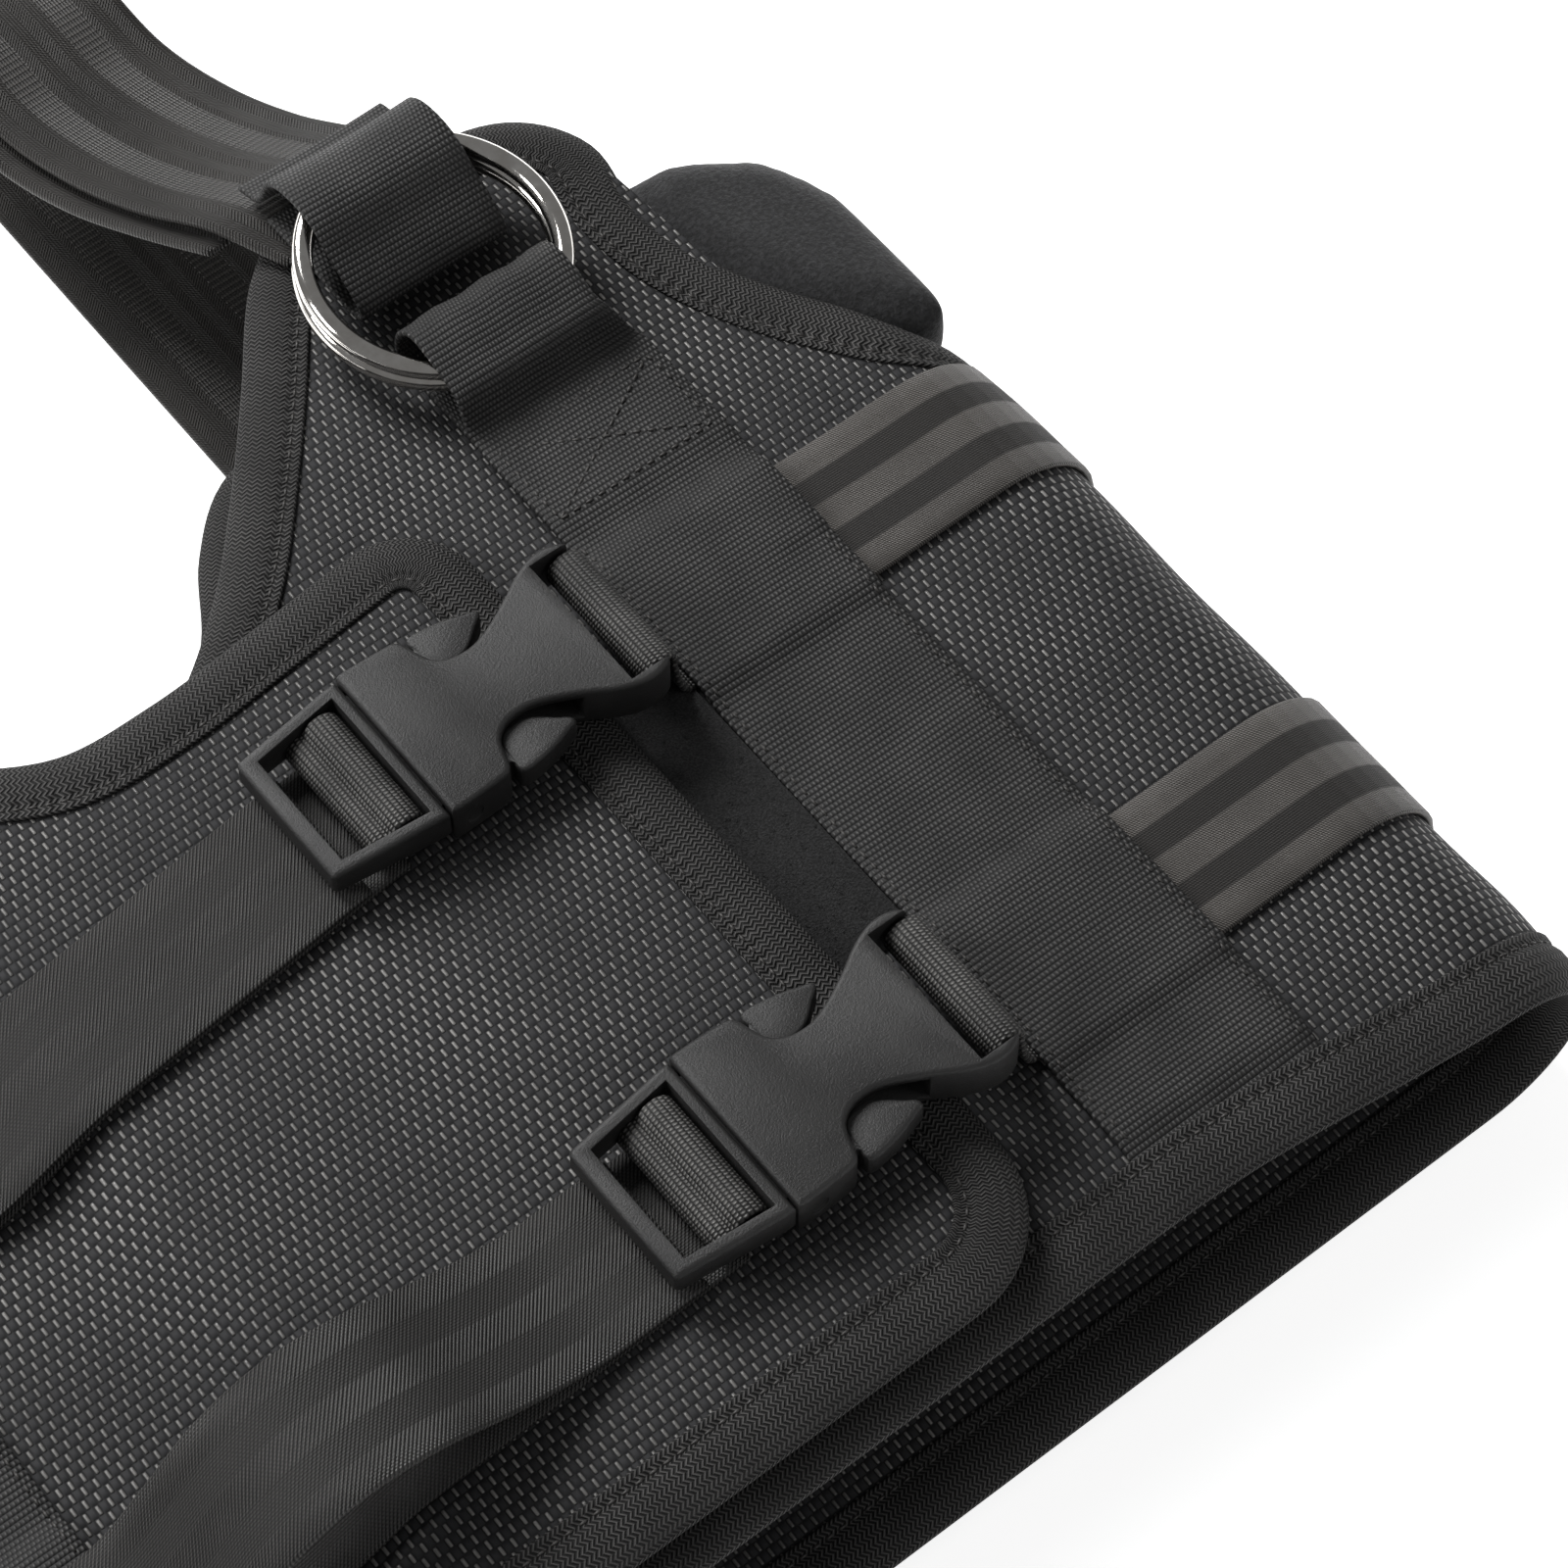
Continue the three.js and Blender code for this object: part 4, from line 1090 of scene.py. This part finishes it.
# %% Moulded solids
def prism(outline, low, high, rim=0.0, rim_steps=3):
    """An outline in millimetres, pushed up from low to high, with its top and bottom rims rounded."""
    bm = bmesh.new()
    face = bm.faces.new([bm.verts.new(place(x, y, low)) for x, y in outline])
    made = bmesh.ops.extrude_face_region(bm, geom=[face])
    top = [v for v in made["geom"] if isinstance(v, bmesh.types.BMVert)]
    bmesh.ops.translate(bm, verts=top, vec=(0, 0, (high - low) * MM))
    bmesh.ops.recalc_face_normals(bm, faces=bm.faces)
    if rim:
        rims = [e for e in bm.edges if abs(e.verts[0].co.z - e.verts[1].co.z) < 1e-7]
        bevel_edges(bm, rims, rim * MM, rim_steps)
    return bm


def as_object(bm):
    """A helper object that is removed once its shape has been used."""
    mesh = bpy.data.meshes.new("helper")
    bm.to_mesh(mesh)
    bm.free()
    obj = bpy.data.objects.new("helper", mesh)
    scene.collection.objects.link(obj)
    return obj


def moulding(body, tools, soft, joined=()):
    """A solid with others joined on and cut away, and then its edges softened."""
    obj = as_object(body)
    helpers = []
    for operation, group in (("UNION", joined), ("DIFFERENCE", tools)):
        for bm in group:
            helper = as_object(bm)
            helpers.append(helper)
            step = obj.modifiers.new("cut", "BOOLEAN")
            step.operation, step.solver, step.object = operation, "EXACT", helper
    edge = obj.modifiers.new("soft", "BEVEL")
    edge.width, edge.segments = soft * MM, 2
    edge.limit_method, edge.angle_limit = "ANGLE", math.radians(38)
    shape = obj.evaluated_get(bpy.context.evaluated_depsgraph_get())
    bm = bmesh.new()
    bm.from_mesh(shape.to_mesh())
    shape.to_mesh_clear()
    for helper in helpers + [obj]:
        bpy.data.objects.remove(helper)
    return bm


def box_tool(x0, x1, y, half_width, z0, z1):
    """A plain block, as wide on both sides of the line y."""
    low, high = y - half_width, y + half_width
    return prism([(x0, low), (x1, low), (x1, high), (x0, high)], z0, z1)


def round_bar(x, y, z, radius, length, sides):
    """A round bar that lies from hem to shoulder."""
    bm = bmesh.new()
    bmesh.ops.create_cone(bm, cap_ends=True, segments=sides, radius1=radius * MM, radius2=radius * MM,
                          depth=length * MM)
    bmesh.ops.transform(bm, matrix=Matrix.Translation(place(x, y, z)) @ UPRIGHT, verts=bm.verts)
    return bm


# %% [markdown]
# ### Socket, plug and latches
# The socket is a flat case with a waist. The latches' thumb pads stand in the waist, lower than the
# case's top, and reach in under it, so a press has somewhere to go. The plug is an open frame with a
# round bar for the belt, a sloped end bar and a guide prong that goes into the case.

# %% Buckle parts
WAIST = [(0, 21.6), (1.5, 22), (14, 21.5), (15.9, 20.8), (17.0, 18.9), (17.9, 15.8),
         (19.5, 12.6), (22.5, 10.6), (26.5, 10.0), (30, 10.5), (34, 12.0), (41, 15.6), (46, 18.6),
         (50, 20.4), (54, 21.2), (57.5, 20.8), (60.2, 19.4), (61, 17.8)]
THUMB = [(18.6, 13.4), (18.4, 17.6), (18.4, 21.2), (20, 21.9), (23, 21.7), (28, 20.8),
         (32.5, 19.3), (35.6, 17.8), (32.6, 14.8), (27.6, 11.0), (23, 10.4), (20.2, 11.2)]
ARM = [(4.3, 13.9), (4.3, 17.6), (15, 17.6), (18.1, 18), (19.5, 19.6), (24, 19), (24, 12.6), (16, 14.2)]
PLUG_RISE = 1.6       # the plug's top climbs to its mouth


def socket_body(y, z):
    half = [(p.x, p.y) for p in smooth(WAIST, 1.1)]
    outline = [(MOUTH_X + u, y + v) for u, v in half + [(u, -v) for u, v in reversed(half)]]
    h, bar, slot = SOCKET_HALF_HEIGHT, SOCKET_BAR_X, 18.8
    tools = [
        box_tool(MOUTH_X - 1, MOUTH_X + 40, y, 18.6, z - 3.9, z + 3.9),
        box_tool(bar - 8.4, bar - BAR_R, y, slot, z - h - 1, z + h + 1),
        box_tool(bar - BAR_R - 0.5, bar + 5, y, slot, z + BAR_R, z + h + 1),
        box_tool(bar - BAR_R - 0.5, bar + 5, y, slot, z - h - 1, z - BAR_R),
        round_bar(MOUTH_X + 5.5, y - 22, z - 0.4, 2.3, 0.9, 20),
    ]
    return moulding(prism(outline, z - h, z + h, 1.2, 3), tools, 0.25)


def plug_body(y, z):
    h, tip, mouth = 3.6, MOUTH_X - 29, MOUTH_X - 0.4
    outline = [(tip + 0.8, y - 18.4), (tip, y - 17.4), (tip, y + 17.4), (tip + 0.8, y + 18.4),
               (MOUTH_X - 3, y + 21.4), (mouth, y + 21.4), (mouth, y - 21.4), (MOUTH_X - 3, y - 21.4)]
    plate = prism(outline, z - h, z + h, 1.4, 4)
    for v in plate.verts:
        if v.co.z > z * MM:
            v.co.z += PLUG_RISE * step_up(v.co.x / MM, tip, MOUTH_X - 4) * MM
    hole = [(tip + 4.2, y - 15.6), (mouth - 3, y - 18.2), (mouth - 3, y + 18.2), (tip + 4.2, y + 15.6)]
    slope = bmesh.new()
    bmesh.ops.create_cube(slope, size=1)
    lean = Matrix.Translation(place(tip - 1.2, y, z + h + 1.4))
    lean = lean @ Matrix.Rotation(math.radians(-34), 4, "Y")
    size = Matrix.Diagonal((9 * MM, 50 * MM, 3.4 * MM, 1))
    bmesh.ops.transform(slope, matrix=lean @ size, verts=slope.verts)
    bar = round_bar(PLUG_BAR_X, y, z, BAR_R, 39, 24)
    neck = box_tool(MOUTH_X - 0.6, MOUTH_X + 4, y, 17.8, z - 3.4, z + 3.4)
    prong = [(MOUTH_X + 3, y - 4), (MOUTH_X + 24, y - 3), (MOUTH_X + 26, y - 1.5),
             (MOUTH_X + 26, y + 1.5), (MOUTH_X + 24, y + 3), (MOUTH_X + 3, y + 4)]
    prong = prism(prong, z - 3.2, z + 3.2)
    plate = moulding(plate, [prism(hole, z - h - 1, z + h + PLUG_RISE + 1), slope], 0.3)
    return moulding(plate, [], 0.25, [bar, neck, prong])


def latch(y, z, side):
    pad = [(p.x, p.y) for p in smooth(THUMB, 1.0)]
    arm, pad = ([(MOUTH_X + u, y + side * v) for u, v in shape] for shape in (ARM, pad))
    thumb = prism(pad, z - 3.6, z + 3.6, 0.9, 3)
    return moulding(thumb, [], 0.25, [prism(arm, z - 3.4, z + 3.4)])


def buckle_part(name, bm, body, node):
    piece(name, bm, PLASTIC, body=body, instead=[node], sharp=50)


for level, y in BELT_LINES.items():
    buckle_part(f"socket_{level}", socket_body(y, BUCKLE_Z), "vest", f"buckle_socket_{level}")
    buckle_part(f"plug_{level}", plug_body(y, BUCKLE_Z), f"{level}_plug", f"buckle_plug_{level}")
    for side, name in ((1, "high"), (-1, "low")):
        buckle_part(f"thumb_{level}_{name}", latch(y, BUCKLE_Z, side), f"{level}_{name}_latch",
                    f"latch_{level}_{name}")
print("buckles made")

# %% [markdown]
# ### Webbing in the buckles
# The webbing turns tightly round each bar, where it has a brighter painted glint. At a plug it
# has a second, smaller fold beside the bar.

# %% Rolls of webbing
ROLL_R = BAR_R * math.sqrt(2) + BELT_WEB / 2 + 0.3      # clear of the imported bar's corners


def rolled(name, marks, width, y, body, node):
    line = even([place(x, y, z) for x, z in marks], 0.7 * MM)
    bm = tape_mesh(line, width, BELT_WEB, UPWARDS)
    return piece(name, bm, ROLL, body=body, instead=[node])


web_edge = WEB_X - WIDE / 2
under_web = [(web_edge + 18, LAID_Z), (web_edge + 2, LAID_Z), (web_edge - 2.6, LAID_Z + 2.2)]
lead = smooth(under_web + arc(SOCKET_BAR_X, BUCKLE_Z, ROLL_R, -20, 0, 2), 0.7)
socket_roll = [tuple(p) for p in lead] + arc(SOCKET_BAR_X, BUCKLE_Z, ROLL_R, 4, 280, 40)
fold = [(-4.4, 1.1), (-5.7, 1.0), (-7.1, 0.4), (-8.1, -1.0), (-8.6, -3.2)]
around = arc(PLUG_BAR_X, BUCKLE_Z, ROLL_R - 0.1, -120, 138, 34)
fold = smooth([around[-1]] + [(PLUG_BAR_X + x, BUCKLE_Z + z) for x, z in fold], 0.7)
plug_roll = around[:-1] + [tuple(p) for p in fold]
for level, y in BELT_LINES.items():
    rolled(f"socket_roll_{level}", socket_roll, BELT, y, "vest", f"socket_tape_{level}")
    rolled(f"plug_roll_{level}", plug_roll, 33.4, y, f"{level}_plug", f"plug_tape_{level}")
print("rolls made")

# %% [markdown]
# ## Webbing seams
# The body webbing is sewn down along both edges and held by a box with a cross below the rings.

# %% Webbing seams
def seam_on_web(side, marks):
    """A seam through marks on a front webbing: (x, y) in millimetres from the pattern's middle."""
    line = even([Vector(m) for m in marks], 2.2)
    spots = [on_front(side, p.x, p.y, web_lift(side, p.x, p.y) + WEB / 2 + 0.12) for p in line]
    seam(spots, lambda k: Vector((0, 0, 1)))


x0, x1, y0, y1 = web_edge + 3, web_edge + WIDE - 3, 198, 223      # the box
for side, _ in SIDES:
    for edge in (web_edge + 2.2, web_edge + WIDE - 2.2):
        seam_on_web(side, [(edge, web_hem(side, edge) + TAPE_WIDE + 4), (edge, y0 - 6)])
    seam_on_web(side, [(x0, y0), (x1, y0), (x1, y1), (x0, y1), (x0, y0)])
    seam_on_web(side, [(x0, y0), (x1, y1)])
    seam_on_web(side, [(x0, y1), (x1, y0)])
print("all stitches:", len(stitch_mesh.faces) // 20)
piece("stitching", stitch_mesh, THREAD)

# %% [markdown]
# ## Felt rolls at the armholes
# The soft edge of the back swells out at each armhole. It is a real pad, so it is simulated: the
# plain solid is widened in under the front panel, remeshed, blown up a little as cloth, held to a few
# millimetres and smoothed, and then crowned where it is free.

# %% Armhole rolls
UNDER_PANEL = 49      # the front panel's underside, where a roll goes in under it
WIDENED, CROWN = 1.35, 4.5
rim_marks = [wrap(p.x, p.y, WALL / 2) for p in EDGES["armhole_left"][0]]
rim_marks = [p for p in rim_marks if p.z > MID_Z * MM]
front_rim = kdtree.KDTree(len(rim_marks))
for i, p in enumerate(rim_marks):
    front_rim.insert((p.x, p.y, 0), i)
front_rim.balance()


def felt_roll(side, name):
    node = nodes[f"armhole_roll_{name}"]
    bm = bmesh.new()
    bm.from_mesh(node.data)
    bmesh.ops.remove_doubles(bm, verts=bm.verts, dist=1e-6)
    bmesh.ops.recalc_face_normals(bm, faces=bm.faces)
    outermost = max(abs(v.co.x) for v in bm.verts)
    for v in bm.verts:
        v.co.x = side * (outermost - (outermost - abs(v.co.x)) * WIDENED)
    obj = piece(f"felt_roll_{name}", bm, FELT, instead=[node.name])
    bpy.context.view_layer.objects.active = obj
    remesh = obj.modifiers.new("even", "REMESH")
    remesh.mode, remesh.voxel_size = "VOXEL", 2.6 * MM
    apply_all(obj)
    blow_up(obj, frames=20, pressure=4.0, most=4 * MM)
    soften = bmesh.new()
    soften.from_mesh(obj.data)
    for _ in range(14):
        bmesh.ops.smooth_vert(soften, verts=soften.verts, factor=0.5, use_axis_x=True,
                              use_axis_y=True, use_axis_z=True)
    for v in soften.verts:
        rim = front_rim.find((abs(v.co.x), v.co.y, 0))[0]
        outside = (abs(v.co.x) - rim.x + (v.co.y - rim.y) / 2) / MM
        crown = CROWN * step_up(outside, 2, 14) * step_up(v.co.z / MM, 38, 47)
        v.co.z = min(v.co.z, UNDER_PANEL * MM) + crown * MM
    soften.to_mesh(obj.data)
    soften.free()
    finer = obj.modifiers.new("finer", "SUBSURF")
    finer.levels = finer.render_levels = 1
    obj.data.shade_smooth()
    return obj


def apply_all(obj):
    """Writes the result of the modifiers into the mesh."""
    shape = obj.evaluated_get(bpy.context.evaluated_depsgraph_get())
    mesh = bpy.data.meshes.new_from_object(shape)
    obj.modifiers.clear()
    obj.data = mesh


def blow_up(obj, frames, pressure, most):
    """Cloth with air in it for a few frames. No point moves further than most."""
    before = [v.co.copy() for v in obj.data.vertices]
    cloth = obj.modifiers.new("air", "CLOTH")
    cloth.settings.use_pressure = True
    cloth.settings.uniform_pressure_force = pressure
    cloth.settings.effector_weights.gravity = 0
    cloth.point_cache.frame_start, cloth.point_cache.frame_end = 1, frames
    for number in range(1, frames + 1):
        scene.frame_set(number)
    apply_all(obj)
    scene.frame_set(1)
    for v, old in zip(obj.data.vertices, before):
        move = v.co - old
        if move.length > most:
            v.co = old + move.normalized() * most


for side, name in SIDES:
    felt_roll(side, name)
print("felt rolls made")

# %% [markdown]
# ## Floor and light
# A pale light table that runs out of sight, a dim sky and three soft lamps. The lamp behind the
# shoulders gives webbing and plastic their long highlights.

# %% Floor and light
def lamp(name, spot, size, power):
    """A square soft lamp that shines at the middle of the vest."""
    data = bpy.data.lights.new(name, "AREA")
    data.shape, data.size, data.energy = "SQUARE", size, power
    obj = bpy.data.objects.new(name, data)
    obj.location = spot
    obj.rotation_mode = "QUATERNION"
    obj.rotation_quaternion = (-spot).to_track_quat("-Z", "Y")
    scene.collection.objects.link(obj)


lamp("back_softbox", Vector((-0.1, 1.5, 1.4)), size=0.95, power=46)
lamp("left_softbox", Vector((-1.4, 0.6, 1.1)), size=0.6, power=13)
lamp("front_softbox", Vector((1.0, -1.4, 1.2)), size=0.7, power=4)
world = bpy.data.worlds.new("sky")
world.use_nodes = True
sky = world.node_tree.nodes["Background"]
sky.inputs["Color"].default_value = (1, 1, 1, 1)
sky.inputs["Strength"].default_value = 0.17
scene.world = world
ground = bmesh.new()
bmesh.ops.create_grid(ground, x_segments=2, y_segments=2, size=6)
pale = Finish("pale_floor", Roughness=0.9, Emission_Color=(1, 1, 1, 1), Emission_Strength=0.76)
speck = pale.noise(pale.solid(), 3, 2)
pale.feed("Base Color", pale.blend(speck, (0.93, 0.93, 0.93), (0.96, 0.96, 0.96)))
floor = piece("floor", ground, pale.material, body=None)
scene.view_settings.view_transform = "Standard"
print("lit")
